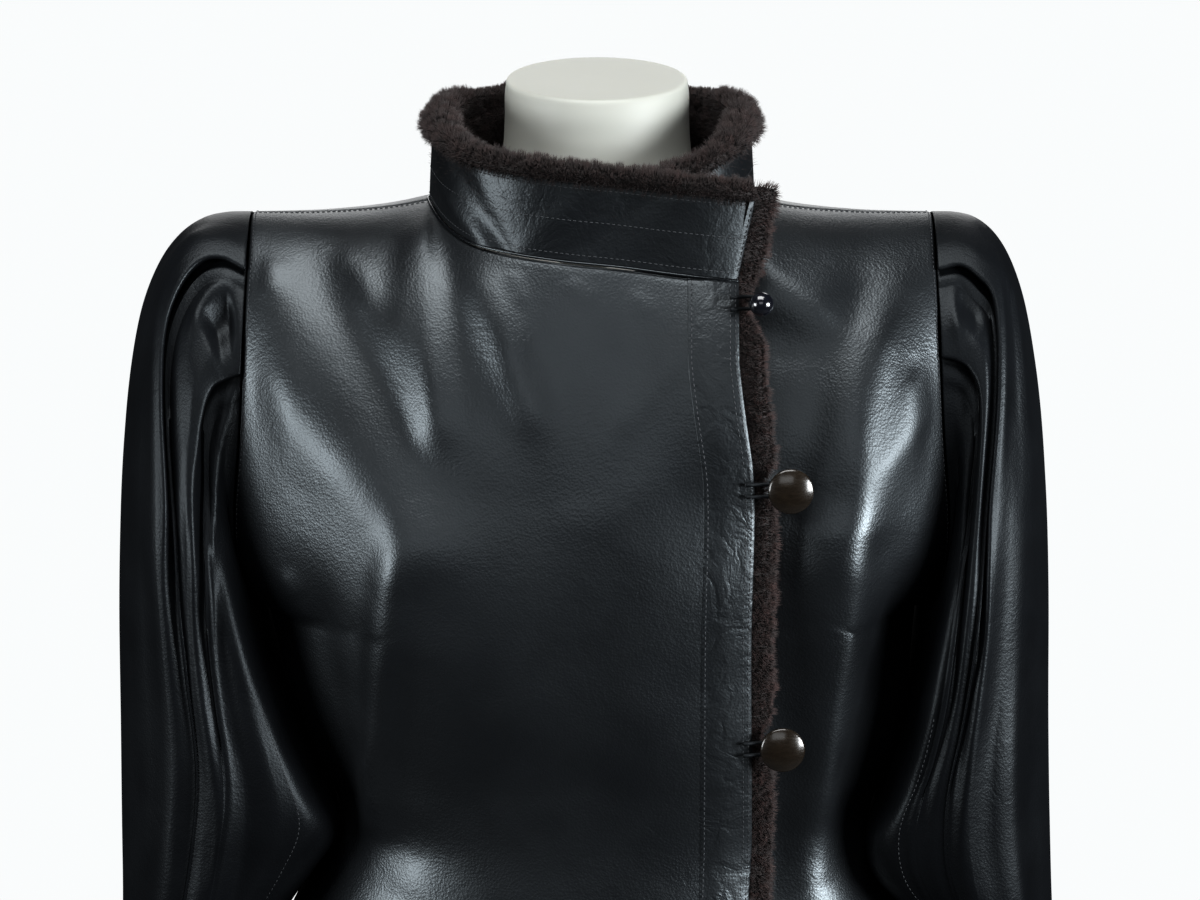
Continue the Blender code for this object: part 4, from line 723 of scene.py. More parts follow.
def edge_of_row(level, turn_of, depth_name, reach):
    """Height, virtual half width, end angle, turn share and squareness of each row of a front or the back.

    Levels 0 to 1 run from the hem to the underarm, 1 to 2 to the start of the arch, 2 to 3 over the shoulder.
    The last value is how far the armhole's edge stands out beyond the body's own section.
    """
    start_angle = armhole_angle(ARCH_HEIGHT)
    middle = (SHOULDER_HEIGHT + UNDERARM_HEIGHT) / 2
    half_height = (SHOULDER_HEIGHT - UNDERARM_HEIGHT) / 2
    low = HEM_HEIGHT + (UNDERARM_HEIGHT - HEM_HEIGHT) * np.clip(level, 0, 1)
    angle = np.pi + (start_angle - np.pi) * np.clip(level - 1, 0, 1)
    mid = middle + half_height * np.cos(angle)
    share = np.clip(level - 2, 0, 1)
    turn = np.minimum(share * turn_of(np.full_like(level, SHOULDER_X)), LAST_TURN)
    high = ARCH_HEIGHT + (SHOULDER_HEIGHT - ARCH_HEIGHT) * np.sin(turn)
    height = np.where(level <= 1, low, np.where(level <= 2, mid, high))
    angle = np.where(level <= 1, np.pi, np.where(level <= 2, angle, armhole_angle(high)))
    square = body("square", height)
    depth = body(depth_name, height) * np.cos(turn)
    ratio = np.where(level <= 1, 0, reach * np.sin(angle) / depth)
    end = np.arccos(np.clip(ratio, 0, 1) ** (square / 2))
    armhole = look_up(ARMHOLE_X, "degrees", "x", np.degrees(angle))
    half_width = body("half_width", height)
    flare = np.where(level <= 1, 0, armhole - half_width)
    return height, half_width / np.sin(end) ** (2 / square), end, share, square, flare


def fold_field(folds, x, z):
    """Height of the folds at x, z: each is a rounded ridge along its line, softer at both ends."""
    total = np.zeros_like(x)
    for fold in folds:
        run = np.array([fold.x1 - fold.x0, fold.z1 - fold.z0])
        length = np.hypot(*run)
        along = ((x - fold.x0) * run[0] + (z - fold.z0) * run[1]) / length**2
        across = np.abs((x - fold.x0) * run[1] - (z - fold.z0) * run[0]) / length
        beyond = np.maximum(np.maximum(-along, along - 1), 0) * length
        distance = np.hypot(across, beyond * FOLD_END_SOFTNESS)
        total = total + fold.height * np.exp(-((distance / fold.width) ** 2))
    return total


def skirt_waves(points):
    """The skirt's flutes, outwards on the level: the same at both sides of a side seam."""
    x, y, z = points[..., 0], points[..., 1], points[..., 2]
    around = np.arctan2(y, x)
    growth = np.clip((WAVES_START - z) / (WAVES_START - HEM_HEIGHT), 0, 1) ** 1.3
    size = growth * sum(wave.size * np.cos(wave.count * around + wave.phase) for wave in SKIRT_WAVES)
    depth = np.where(y < 0, body("front", z), body("back", z))
    half_width = body("half_width", z)
    outward = unit(np.stack([x / half_width**2, y / depth**2, 0 * z], axis=-1))
    return outward * size[..., None]


def body_points(side, columns, levels, turn_of, depth_name, reach, start, facing):
    """Grid of a body piece and its outward normals.

    Its sections are superellipses that turn over the shoulders, from start to the side or the armhole. The
    normals are cross products of small steps taken at one angle and at one level of the same formula. By the
    underarm they go smoothly from those of a row a little below it to those of a row a little above it.
    """

    def limits(level):
        height, width, end, share, square, flare = edge_of_row(level, turn_of, depth_name, reach)
        first = section_angle(np.clip(start(height) / width, -1, 1), square)
        return height, width, first, end, share, square, flare

    def place(level, angle):
        height, width, first, end, share, square, flare = limits(level)
        across = width * signed_power(np.sin(angle), 2 / square)
        across = across + flare * ease(((angle - first) / (end - first) - FLARE_FROM) / (1 - FLARE_FROM))
        turn = share * turn_of(across)
        z = np.where(level <= 2, height, ARCH_HEIGHT + (ridge_height(across) - ARCH_HEIGHT) * np.sin(turn))
        front = body("front", z)
        depth = np.where(turn > np.pi / 2, front, body(depth_name, z))
        bulge = np.clip(np.cos(angle), 0, 1) ** (2 / square)
        y = facing * (depth * bulge * np.cos(turn) + SEAM_HALF_GAP)
        aside = np.clip(np.abs(across) / body("half_width", z), 0, 1) ** 2
        x = side * across + body("middle", z) * aside
        return np.stack([x, y, z], axis=-1)

    def normals(level, angle):
        along = place(level, angle + NORMAL_STEP) - place(level, angle - NORMAL_STEP)
        up = place(level + NORMAL_STEP, angle) - place(level - NORMAL_STEP, angle)
        return unit(np.cross(along, up)) * -side * facing

    def angles(level):
        _, _, first, end, _, _, _ = limits(level)
        return first + (end - first) * share_across

    share_across = columns + 0 * levels[:, None]
    level = levels[:, None] + 0 * share_across
    points = place(level, angles(level))
    above = 1 + (np.pi - armhole_angle(UNDERARM_HEIGHT + BRIDGE)) / (np.pi - armhole_angle(ARCH_HEIGHT))
    below = 1 - BRIDGE / (UNDERARM_HEIGHT - HEM_HEIGHT)
    share = ease((points[..., 2:] - UNDERARM_HEIGHT + BRIDGE) / (2 * BRIDGE))
    ends = ((below + 0 * level, 1 - share), (above + 0 * level, share))
    bridged = unit(sum(normals(end, angles(end)) * weight for end, weight in ends))
    inside = np.abs(points[..., 2:] - UNDERARM_HEIGHT) < BRIDGE
    return points, np.where(inside, bridged, normals(level, angles(level)))


def soften_at_seams(levels, columns, both_sides=False):
    """1 inside a piece, falling to 0 at its shoulder seam, neckline, armhole and side seam."""
    top = ease((3 - levels) / SOFT_TOP)
    from_side = 1 - columns
    if both_sides:
        from_side = np.minimum(columns, 1 - columns) * 2
    return top[:, None] * ease(from_side / SOFT_SIDE)


def front_piece(side, columns, levels, creases=()):
    """Points of the right front (side -1) or the left front (side 1)."""

    def start(height):
        edge = -look_up(LAP_EDGE, "height", "x", height)
        return edge if side < 0 else np.full_like(height, UNDER_EDGE_X)

    points, out = body_points(side, columns, levels, front_turn, "front", ARMHOLE_FRONT, start, -1)
    x, z = points[..., 0], points[..., 2]
    folds = RIGHT_FOLDS if side < 0 else LEFT_FOLDS
    move = fold_field(folds, x, z) * soften_at_seams(levels, columns)
    waves = skirt_waves(points)
    if creases:
        inside = ease((1 - columns) / CREASE_STOPS_FRONT) * ease((3 - levels[:, None]) / CREASE_STOPS_TOP)
        move = move + crease_field(creases, x, z) * inside
    if side < 0:
        lift = LAP_LIFT * rise_between(x, LAP_LIFT_X) * rise_between(z, LAP_LIFT_Z)
        points[..., 1] -= lift
    else:
        shift = LAP_DROP_SHIFT * rise_between(z, LAP_DROP_Z)
        move = move * rise_between(x, LEFT_FOLDS_X)
        move = move - LAP_DROP * (1 - rise_between(x + shift, LAP_DROP_X))
    return points + out * move[..., None] + waves


def back_piece(columns, levels, creases=()):
    """Points of the back, from the right side to the left, as two mirrored halves."""
    half = columns[columns >= 0.5] * 2 - 1
    zero = np.zeros_like
    right, right_out = body_points(1, half, levels, back_turn, "back", ARMHOLE_BACK, zero, 1)
    left, left_out = body_points(-1, half, levels, back_turn, "back", ARMHOLE_BACK, zero, 1)
    points = np.concatenate([left[:, :0:-1], right], axis=1)
    out = np.concatenate([left_out[:, :0:-1], right_out], axis=1)
    move = fold_field(BACK_FOLDS, points[..., 0], points[..., 2])
    move = move * soften_at_seams(levels, columns, both_sides=True)
    if creases:
        inside = ease(np.minimum(columns, 1 - columns) / CREASE_STOPS_BACK)
        inside = inside * ease((3 - levels[:, None]) / CREASE_STOPS_TOP)
        move = move + crease_field(creases, points[..., 0], points[..., 2]) * inside
    return points + out * move[..., None] + skirt_waves(points)


def neck_share(start_x, turn_of, depth_name, reach):
    """Column of a body piece that meets the neck point in its top row."""
    level = np.array([3.0])
    _, width, end, _, square, _ = edge_of_row(level, turn_of, depth_name, reach)
    first = section_angle(start_x / width, square)
    neck = section_angle(NECK_X / width, square)
    return float(((neck - first) / (end - first))[0])


def front_neck_share(side):
    """Column of a front that meets the neck point."""
    lap = -look_up(LAP_EDGE, "height", "x", np.array([NECKLINE[1].height]))
    return neck_share(lap if side < 0 else UNDER_EDGE_X, front_turn, "front", ARMHOLE_FRONT)


def band_shares(levels, distances):
    """Columns of the right front that lie at these distances from its free edge, level by level."""
    height, width, end, _, square, _ = edge_of_row(levels, front_turn, "front", ARMHOLE_FRONT)
    edge = -look_up(LAP_EDGE, "height", "x", height)
    angles = [section_angle((edge + distance) / width, square) for distance in (0.0, *distances)]
    return [(angle - angles[0]) / (end - angles[0]) for angle in angles[1:]]


# ---------------------------------------------------------------- sleeves
def sleeve_places(pleats, rows, counts):
    """Degrees round the sleeve, its fold's outward share, and where the cloth would lie unpleated.

    Between pleats the cloth is even. Within one, the place is the lip's plus PLEAT_HALF times
    (1 - c) t + c t cubed, t from -1 to 1, which doubles back where c is above 1.
    """
    pleat_rows = np.array(PLEAT_ROWS)
    lips = [smooth_through(rows, pleat_rows, np.array(pleat.path)) for pleat in pleats]
    stops = [np.zeros_like(rows)]
    for lip in lips:
        stops += [lip - PLEAT_HALF, lip + PLEAT_HALF]
    stops.append(np.full_like(rows, 360.0))
    place, push = [], []
    for position in range(len(stops) - 1):
        share = np.linspace(0, 1, counts[position], endpoint=False)[None, :]
        low, high = stops[position][:, None], stops[position + 1][:, None]
        even = low + (high - low) * share
        if position % 2 == 0:
            place.append(even)
            push.append(0 * even)
            continue
        pleat = pleats[position // 2]
        fold = PLEAT_OVERLAP * (1 - ease((rows - pleat.full) / (pleat.gone - pleat.full)))[:, None]
        t = 2 * share - 1
        place.append(lips[position // 2][:, None] + PLEAT_HALF * ((1 - fold) * t + fold * t**3))
        push.append(-np.sin(np.clip(t / PLEAT_FACE, -1, 1) * np.pi / 2) + 0 * even)
    return np.concatenate(place, axis=1), np.concatenate(push, axis=1), lips


def sleeve_piece(side, rows, counts, pleats, creases):
    """Points of a sleeve: rings from the armhole to the cuff, with doubled pleats and long folds."""
    index = np.arange(len(SLEEVE), dtype=float)
    label, push, lips = sleeve_places(pleats, rows, counts)
    row = rows[:, None] + 0 * label
    trim = LEFT_SLEEVE_TRIM if side > 0 else 0.0
    trim = trim * rise_between(row, TRIM_GROWS) * (1 - TRIM_LOST * rise_between(row, TRIM_FADES))

    def along(name):
        return smooth_through(row, index, column(SLEEVE, name))

    angle = np.radians(label)
    out_x, out_z = along("out_x") - trim, along("out_z")
    in_z = along("in_z") + UNDERARM_LIFT * (1 - ease(row / UNDERARM_ROWS))
    body_side = body("half_width", in_z) + side * body("middle", in_z)
    in_x = body_side + along("clear")
    middle_x, middle_z = (out_x + in_x) / 2, (out_z + in_z) / 2
    cosine, sine = np.cos(angle), np.sin(angle)
    reach = np.where(sine > 0, along("front"), along("back"))

    envelope = PLEAT_AT_SEAM + (1 - PLEAT_AT_SEAM) * rise_between(row, PLEAT_GROWS)
    envelope = envelope * (1 - (1 - PLEAT_LEFT) * rise_between(row, PLEAT_FADES))
    envelope = envelope * (1 - rise_between(row, PLEAT_ENDS))
    move = np.zeros_like(row)
    for pleat, lip in zip(pleats, lips):
        downwards = 1 if pleat.path[0] < 180 else -1
        below = (label - lip[:, None]) * downwards
        far = np.clip(1 - (np.abs(below) - PLEAT_HALF) / PLEAT_REACH, 0, 1) ** 2
        step = np.where(np.abs(below) < PLEAT_HALF * PLEAT_EDGE, 0.0, -np.sign(below) * far)
        inside = np.abs(label - lip[:, None]) <= PLEAT_HALF * PLEAT_EDGE
        step = step + np.where(inside, push * downwards, 0.0)
        move = move + 0.5 * pleat.height * step * envelope
    for place0, place1, row0, row1, width, height in SLEEVE_FOLDS:
        share = np.clip((row - row0) / (row1 - row0), 0, 1)
        away = label - (place0 + (place1 - place0) * share)
        grow = ease((row - row0) / FOLD_GROWS + FOLD_STARTS)
        move = move + height * np.exp(-((away / width) ** 2)) * grow
    stretched = []
    for crease in creases:
        stretched.append(crease._replace(path=[(place, at * ROW_AS_DEGREES) for place, at in crease.path]))
    move = move + crease_field(stretched, label, row * ROW_AS_DEGREES) * ease(row / CREASE_ROWS)
    press = along("press_left" if side > 0 else "press_right")
    beside = ((label - BACK_PRESS_PLACE) / BACK_PRESS_WIDTH) ** 2
    along_it = ((row - BACK_PRESS_ROW) / BACK_PRESS_ROWS) ** 2
    move = move + BACK_PRESS * np.exp(-beside - along_it)
    move = move + press * np.exp(-(((label - PRESS_PLACE) / PRESS_WIDTH) ** 2))

    half = np.hypot(out_x - in_x, out_z - in_z) / 2
    outward = unit(np.stack([cosine / half, sine / reach], axis=-1))
    along_ring = cosine * half + move * outward[..., 0]
    forward = sine * reach + move * outward[..., 1]
    axis_x, axis_z = (out_x - in_x) / 2 / half, (out_z - in_z) / 2 / half
    x = middle_x + along_ring * axis_x
    armhole = look_up(ARMHOLE_X, "degrees", "x", np.degrees(np.arccos(np.clip(cosine, -1, 1))))
    plain = SLEEVE_AT_ARMHOLE[0] + SLEEVE_AT_ARMHOLE[1] * cosine
    x = x + ARMHOLE_CLEAR * (1 - ease(row / CLEAR_ROWS)) + (armhole - plain) * (1 - ease(row / ARMHOLE_ROWS))
    return np.stack([side * x, -forward - along("hang"), middle_z + along_ring * axis_z], axis=-1)


# ---------------------------------------------------------------- collar and fur
def neck_path(count):
    """Base line of the collar from its front end round the back to its hidden end, in even steps."""
    fine = np.linspace(0, 1, 60)
    right = front_piece(-1, fine * front_neck_share(-1), TOP_ROWS)
    left = front_piece(1, fine * front_neck_share(1), TOP_ROWS)
    share = neck_share(0.0, back_turn, "back", ARMHOLE_BACK)
    across = np.linspace(0.5 - share / 2, 0.5 + share / 2, 61)
    back = back_piece(across, TOP_ROWS)
    left = left[:, left[1, :, 0] > COLLAR_UNDER_END_X]
    strips = [right, back[:, 1:-1], left[:, ::-1]]
    edge = np.concatenate([strip[1] for strip in strips])
    rise = np.concatenate([strip[1] - strip[0] for strip in strips])
    run = run_along(edge)
    even = np.concatenate([[0], np.linspace(COLLAR_FUR_START, run[-1], COLLAR_SPANS)])
    even = np.interp(np.linspace(0, COLLAR_SPANS, count), np.arange(COLLAR_SPANS + 1), even)
    return points_at(even, run, edge), unit(points_at(even, run, unit(rise))), even


def collar_frame(count):
    """For each station of the collar: its base, the outward direction, the way along it, and its height.

    The way along it is smoothed over as many stations as make one of the base line's own spans.
    """
    base, lean, run = neck_path(count)
    along = np.gradient(base, run, axis=0)
    along[:, 2] = 0
    window = count // (COLLAR_SPANS + 1)
    if window > 1:
        kernel = np.ones(2 * window + 1) / (2 * window + 1)
        padded = np.pad(along, ((window, window), (0, 0)), mode="edge")
        along = np.stack([np.convolve(padded[:, axis], kernel, "valid") for axis in range(3)], axis=1)
    along = unit(along)
    outward = np.stack([-along[:, 1], along[:, 0], 0 * run], axis=1)
    level = np.hypot(lean[:, 0], lean[:, 1])
    lift = level * WALL / 2 + COLLAR_SEAM_CLEAR
    base = base + np.array([0, 0, 1]) * lift[:, None]
    behind = rise_between(base[:, 1], COLLAR_BEHIND_Y)
    beside = np.exp(-(((base[:, 1] - COLLAR_BESIDE_Y) / COLLAR_BESIDE_WIDTH) ** 2))
    height = COLLAR_HEIGHT - COLLAR_LOWER_BEHIND * behind - COLLAR_LOWER_BESIDE * beside
    return base, outward, along, run, height, behind, beside


def collar_points(count, heights, outs=None):
    """Grid over the collar: shares of its height, and distances off its middle surface."""
    base, outward, along, run, height, behind, beside = collar_frame(count)
    rows = []
    front_end = 1 - ease(run / COLLAR_TIP_RUN)
    for position in range(len(heights)):
        share, extra = heights[position]
        off = 0.0 if outs is None else outs[position]
        if share == 1.0 and np.max(off) > FUR_INSIDE:
            extra = extra * (1 + FUR_TALLER_BESIDE * beside + FUR_TALLER_BEHIND * behind)
            off = off * (1 + FUR_FULLER_BESIDE * beside)
        rise = share * height + extra
        part = np.clip(rise / height, 0, COLLAR_PART_LIMIT)
        lean = -COLLAR_LEAN * behind * part**COLLAR_LEAN_POWER
        tip = COLLAR_TIP * part * front_end
        rows.append(
            base
            + np.array([0, 0, 1]) * rise[:, None]
            + outward * (lean + off)[:, None]
            - along * tip[:, None]
        )
    return np.array(rows)


def edge_path(levels):
    """Free edge of the right front and of the collar above it: points, ways outward, ways in."""
    front = front_piece(-1, BY_EDGE, levels)
    heights = [(share, 0.0) for share in STRIP_ON_COLLAR]
    collar = collar_points(90, heights)[:, :2]
    points = np.concatenate([front[:, 0], collar[:, 0]])
    outward = unit(np.concatenate([front[:, 0] - front[:, 1], collar[:, 0] - collar[:, 1]]))
    up = np.gradient(points, axis=0)
    inward = unit(np.cross(up, outward))
    return points, outward, inward


def strip_points(levels, sides):
    """Rings of the fur strip along the front edge, pinched behind each button loop."""
    points, outward, inward = edge_path(levels)
    z = points[:, 2]
    pinch = sum(np.exp(-(((z - height) / STRIP_PINCH_REACH) ** 2)) for height in column(BUTTONS, "height"))
    wide = STRIP_HALF_WIDTH * (1 - STRIP_PINCH * np.clip(pinch, 0, 1))
    centre = points + outward * (STRIP_OUT - STRIP_HALF_WIDTH + wide)[:, None] + inward * STRIP_BEHIND
    turn = 2 * np.pi * np.arange(sides) / sides
    flat = signed_power(np.cos(turn), STRIP_SQUARE)
    across = outward[:, None] * (wide[:, None] * flat)[..., None]
    deep = inward[:, None] * (STRIP_HALF_DEPTH * np.sin(turn))[None, :, None]
    return centre[:, None] + across + deep


# ---------------------------------------------------------------- meshes
def new_piece(name, points, faces, material, slot_name):
    """A mesh from arrays of points and of faces, all with the same number of corners."""
    faces = np.asarray(faces, np.int32)
    mesh = bpy.data.meshes.new(name)
    mesh.vertices.add(len(points))
    mesh.vertices.foreach_set("co", np.asarray(points, np.float32).ravel())
    mesh.loops.add(faces.size)
    mesh.loops.foreach_set("vertex_index", faces.ravel())
    mesh.polygons.add(len(faces))
    mesh.polygons.foreach_set("loop_start", np.arange(0, faces.size, faces.shape[1], dtype=np.int32))
    mesh.polygons.foreach_set("use_smooth", np.ones(len(faces), bool))
    mesh.update(calc_edges=True)
    mesh.materials.append(material)
    piece = bpy.data.objects.new(name, mesh)
    bpy.context.scene.collection.objects.link(piece)
    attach(piece, "root")
    return piece


def grid_quads(rows, columns, closed=False, flip=False):
    """Faces of a grid of points: closed joins its last column to its first, flip turns them over."""
    index = np.arange(rows * columns).reshape(rows, columns)
    if closed:
        index = np.concatenate([index, index[:, :1]], axis=1)
    quads = np.stack([index[:-1, :-1], index[:-1, 1:], index[1:, 1:], index[1:, :-1]], axis=-1)
    quads = quads.reshape(-1, 4)
    return quads[:, ::-1] if flip else quads


def as_triangles(quads):
    """Two triangles for each quad."""
    return np.concatenate([quads[:, [0, 1, 2]], quads[:, [0, 2, 3]]])


def around_grid(grid):
    """The rim of a grid of values, once round: first row, last column, last row and first column."""
    return np.concatenate([grid[0, :-1], grid[:-1, -1], grid[-1, :0:-1], grid[:0:-1, 0]])


def away_from_grid(points):
    """At each point of a grid's first and last rows, the way out of the sheet; zero at any other point."""
    away = np.zeros_like(points)
    away[0] += unit(points[0] - points[1])
    away[-1] += unit(points[-1] - points[-2])
    return away


def cloth_piece(name, grid, material, closed=False, flip=False, thickness=WALL):
    """An open surface given its thickness, half to each side, with its cut edges rounded over.

    The two faces lie half a thickness off the surface. Each rim is a half ellipse: the surface's edge plus
    the normal times sin a times half a thickness, less the way out times (1 - cos a) times RIM_REACH.
    """
    rows, columns = grid.shape[:2]
    out = grid_normals(grid, closed) * (-1 if flip else 1)
    away = away_from_grid(grid)
    if not closed:
        away[:, 0] += unit(grid[:, 0] - grid[:, 1])
        away[:, -1] += unit(grid[:, -1] - grid[:, -2])
    away = unit(away) * (np.linalg.norm(away, axis=-1, keepdims=True) > 0)
    half = thickness / 2
    reach = RIM_REACH * thickness
    faces_of = [grid + out * half * way - away * reach for way in (1, -1)]
    index = np.arange(rows * columns).reshape(rows, columns)
    outer = grid_quads(rows, columns, closed, flip)
    quads = [outer, outer[:, ::-1] + rows * columns]
    points = [faces_of[0].reshape(-1, 3), faces_of[1].reshape(-1, 3)]
    start = 2 * rows * columns
    loops = [index[0], index[-1][::-1]] if closed else [around_grid(index)]
    turns = np.radians(RIM_TURNS)
    for loop in loops:
        middle, normal, way = (values.reshape(-1, 3)[loop] for values in (grid, out, away))
        rings = [loop]
        for turn in turns:
            points.append(middle + normal * np.sin(turn) * half - way * (1 - np.cos(turn)) * reach)
            rings.append(start + np.arange(len(loop)))
            start += len(loop)
        rings.append(loop + rows * columns)
        for above, below in zip(rings[:-1], rings[1:]):
            side = np.stack([above, below, np.roll(below, -1), np.roll(above, -1)], axis=1)
            quads.append(side[:, ::-1] if flip else side)
    return new_piece(name, np.concatenate(points), np.concatenate(quads), material, "leather")


def tube(path, radius, sides):
    """Points of a round tube: circles of the radius, square to the path, each turned as little as can be."""
    path = np.asarray(path, float)
    along = unit(np.gradient(path, axis=0))
    side = np.cross(along[0], [0.0, 0.0, 1.0])
    if np.linalg.norm(side) < 0.1:
        side = np.cross(along[0], [0.0, 1.0, 0.0])
    sides_of = [unit(side)]
    for step in along[1:]:
        sides_of.append(unit(sides_of[-1] - step * np.dot(sides_of[-1], step)))
    side = np.array(sides_of)
    up = np.cross(side, along)
    turn = 2 * np.pi * np.arange(sides) / sides
    radius = np.broadcast_to(radius, len(path))[:, None, None]
    ring = side[:, None] * np.cos(turn)[None, :, None] + up[:, None] * np.sin(turn)[None, :, None]
    return path[:, None] + ring * radius


def capped_tube_faces(rows, columns, flip=False):
    """Triangles of a tube whose ends are closed by a fan round the first point of each end ring."""
    sides = as_triangles(grid_quads(rows, columns, closed=True, flip=flip))
    fan = np.stack([np.zeros(columns - 2, int), np.arange(2, columns), np.arange(1, columns - 1)], axis=1)
    last = fan[:, ::-1] + (rows - 1) * columns
    caps = np.concatenate([fan, last])
    return np.concatenate([sides, caps[:, ::-1] if flip else caps])


def turned_points(profile, sides):
    """A profile of radius, height rows turned round the Z axis."""
    turn = 2 * np.pi * np.arange(sides) / sides
    radius, height = profile[:, 0][:, None], profile[:, 1][:, None]
    return np.stack([radius * np.cos(turn), radius * np.sin(turn), height + 0 * turn], axis=-1)


def rounded_profile(corners, reach, steps=5):
    """A profile through corner points, each inner corner rounded by a curve that starts reach before it."""
    corners = np.array(corners, float)
    points = [corners[0]]
    for before, corner, after in zip(corners[:-2], corners[1:-1], corners[2:]):
        first = np.linalg.norm(before - corner)
        second = np.linalg.norm(after - corner)
        start = corner + (before - corner) * min(0.45, reach / first)
        end = corner + (after - corner) * min(0.45, reach / second)
        for t in np.linspace(0, 1, steps):
            points.append((1 - t) ** 2 * start + 2 * t * (1 - t) * corner + t**2 * end)
    points.append(corners[-1])
    return np.array(points)


def stitches(path, outward, sizes):
    """Closed beads in a row along a path: points and triangles.

    Each bead has a point at both ends and two rings of four points between them.
    """
    run = run_along(path)
    count = max(2, int(run[-1] / sizes.stitch_pitch))
    middle = (np.arange(count) + 0.5) * run[-1] / count
    place = points_at(middle, run, path)
    up = unit(points_at(middle, run, outward))
    way = unit(points_at(middle, run, np.gradient(path, run, axis=0)))
    side = unit(np.cross(way, up))
    half, wide = sizes.stitch_length / 2, sizes.stitch_width / 2
    place = place + up * wide * (1 - 2 * BEAD_SUNK)
    rows = [place - way * half]
    for share in BEAD_RINGS:
        for a, b in ((1, 0), (0, 1), (-1, 0), (0, -1)):
            rows.append(place + way * half * share + side * wide * a + up * wide * BEAD_FLATNESS * b)
    rows.append(place + way * half)
    points = np.stack(rows, axis=1)
    faces = []
    for k in range(4):
        after = (k + 1) % 4
        faces += [(0, 1 + k, 1 + after), (1 + k, 5 + after, 1 + after), (1 + k, 5 + k, 5 + after)]
        faces += [(9, 5 + after, 5 + k)]
    faces = np.array(faces)[None] + 10 * np.arange(count)[:, None, None]
    return points.reshape(-1, 3), faces.reshape(-1, 3)


def joined(parts):
    """Several (points, faces) pairs as one."""
    points, faces, start = [], [], 0
    for some, theirs in parts:
        points.append(some)
        faces.append(theirs + start)
        start += len(some)
    return np.concatenate(points), np.concatenate(faces)


def roll_edges(grid, outward, depth=0.0008, reach=0.0015, left=False, right=False, top=False):
    """Turns a panel's edges in: a point moves inward by depth times exp of minus (distance / reach) ** 2."""
    columns_apart = np.linalg.norm(np.diff(grid, axis=1), axis=2)
    rows_apart = np.linalg.norm(np.diff(grid, axis=0), axis=2)
    across = np.concatenate([0 * grid[:, :1, 0], np.cumsum(columns_apart, axis=1)], axis=1)
    up = np.concatenate([0 * grid[:1, :, 0], np.cumsum(rows_apart, axis=0)], axis=0)
    total = np.zeros(grid.shape[:2])
    for wanted, distance in ((left, across), (right, across[:, -1:] - across), (top, up[-1:] - up)):
        if wanted:
            total = np.maximum(total, np.exp(-((distance / reach) ** 2)))
    return grid - outward * (depth * total)[..., None]


# ---------------------------------------------------------------- grids of the panels
def even_levels(fine_from, fine_step, coarse_step):
    """Levels 0 to 3 of a front or the back: rows in coarse steps up to a height, then in fine ones."""

    def steps(first, last, step):
        return np.linspace(first, last, round((last - first) / step), endpoint=False)

    low = steps(HEM_HEIGHT, fine_from, coarse_step)
    high = steps(fine_from, UNDERARM_HEIGHT, fine_step)
    lower = (np.concatenate([low, high]) - HEM_HEIGHT) / (UNDERARM_HEIGHT - HEM_HEIGHT)
    start_angle = armhole_angle(ARCH_HEIGHT)
    beside = armhole_angle(steps(UNDERARM_HEIGHT, ARCH_HEIGHT, fine_step))
    middle = 1 + (np.pi - beside) / (np.pi - start_angle)
    upper = np.linspace(2, 3, int(SHOULDER_RUN / fine_step))
    edge = 3 - EDGE_LEVELS
    return np.unique(np.concatenate([lower, middle, upper, edge]))


def even_columns(first, neck, count):
    """Columns from first to the side seam, with one at the neck point and more by the seam."""
    before = int(count * neck)
    lower = np.linspace(first, neck, before + 1)[:-1]
    upper = np.linspace(neck, 1 - EDGE_SHARES[-1], count - before + 1)[:-1]
    return np.concatenate([lower, upper, 1 - EDGE_SHARES[::-1]])


def right_front_grid(levels, count):
    """Columns of the right front, level by level: those of the band first, then even ones."""
    inner = np.array(band_shares(levels, BAND_STEPS)).T
    neck = front_neck_share(-1)
    rows = [np.concatenate([[0.0], shares, even_columns(shares[-1], neck, count)[1:]]) for shares in inner]
    return np.array(rows)


# ---------------------------------------------------------------- materials
def add(tree, kind, inputs=None, **settings):
    """A node with its settings and inputs: an input that is a socket is linked, any other is its value."""
    made = tree.nodes.new(kind)
    for name, value in settings.items():
        setattr(made, name, value)
    for name, value in (inputs or {}).items():
        socket = made.inputs[name]
        if isinstance(value, bpy.types.NodeSocket):
            tree.links.new(value, socket)
        else:
            socket.default_value = value
    return made


def maths(tree, operation, first, second=0.0, third=0.0):
    """The output of a maths node: an input that is a socket is linked, any other is its value."""
    made = tree.nodes.new("ShaderNodeMath")
    made.operation = operation
    for socket, value in zip(made.inputs, (first, second, third)):
        if isinstance(value, bpy.types.NodeSocket):
            tree.links.new(value, socket)
        else:
            socket.default_value = value
    return made.outputs[0]


def blend_colours(tree, share, first, second):
    """The first colour at share 0, the second at share 1, mixed between."""
    made = tree.nodes.new("ShaderNodeMix")
    made.data_type = "RGBA"
    sockets = {"Factor": made.inputs[0], "A": made.inputs[6], "B": made.inputs[7]}
    for name, value in (("Factor", share), ("A", first), ("B", second)):
        if isinstance(value, bpy.types.NodeSocket):
            tree.links.new(value, sockets[name])
        else:
            sockets[name].default_value = value if name == "Factor" else (*value[:3], 1.0)
    return made.outputs[2]


def new_group(name, inputs, outputs):
    """An empty node group with these inputs, each with its value, and these outputs."""
    group = bpy.data.node_groups.new(name, "ShaderNodeTree")
    for title, value in inputs:
        socket = group.interface.new_socket(name=title, in_out="INPUT", socket_type="NodeSocketFloat")
        socket.default_value = value
    for title in outputs:
        group.interface.new_socket(name=title, in_out="OUTPUT", socket_type="NodeSocketFloat")
    return group, group.nodes.new("NodeGroupInput"), group.nodes.new("NodeGroupOutput")


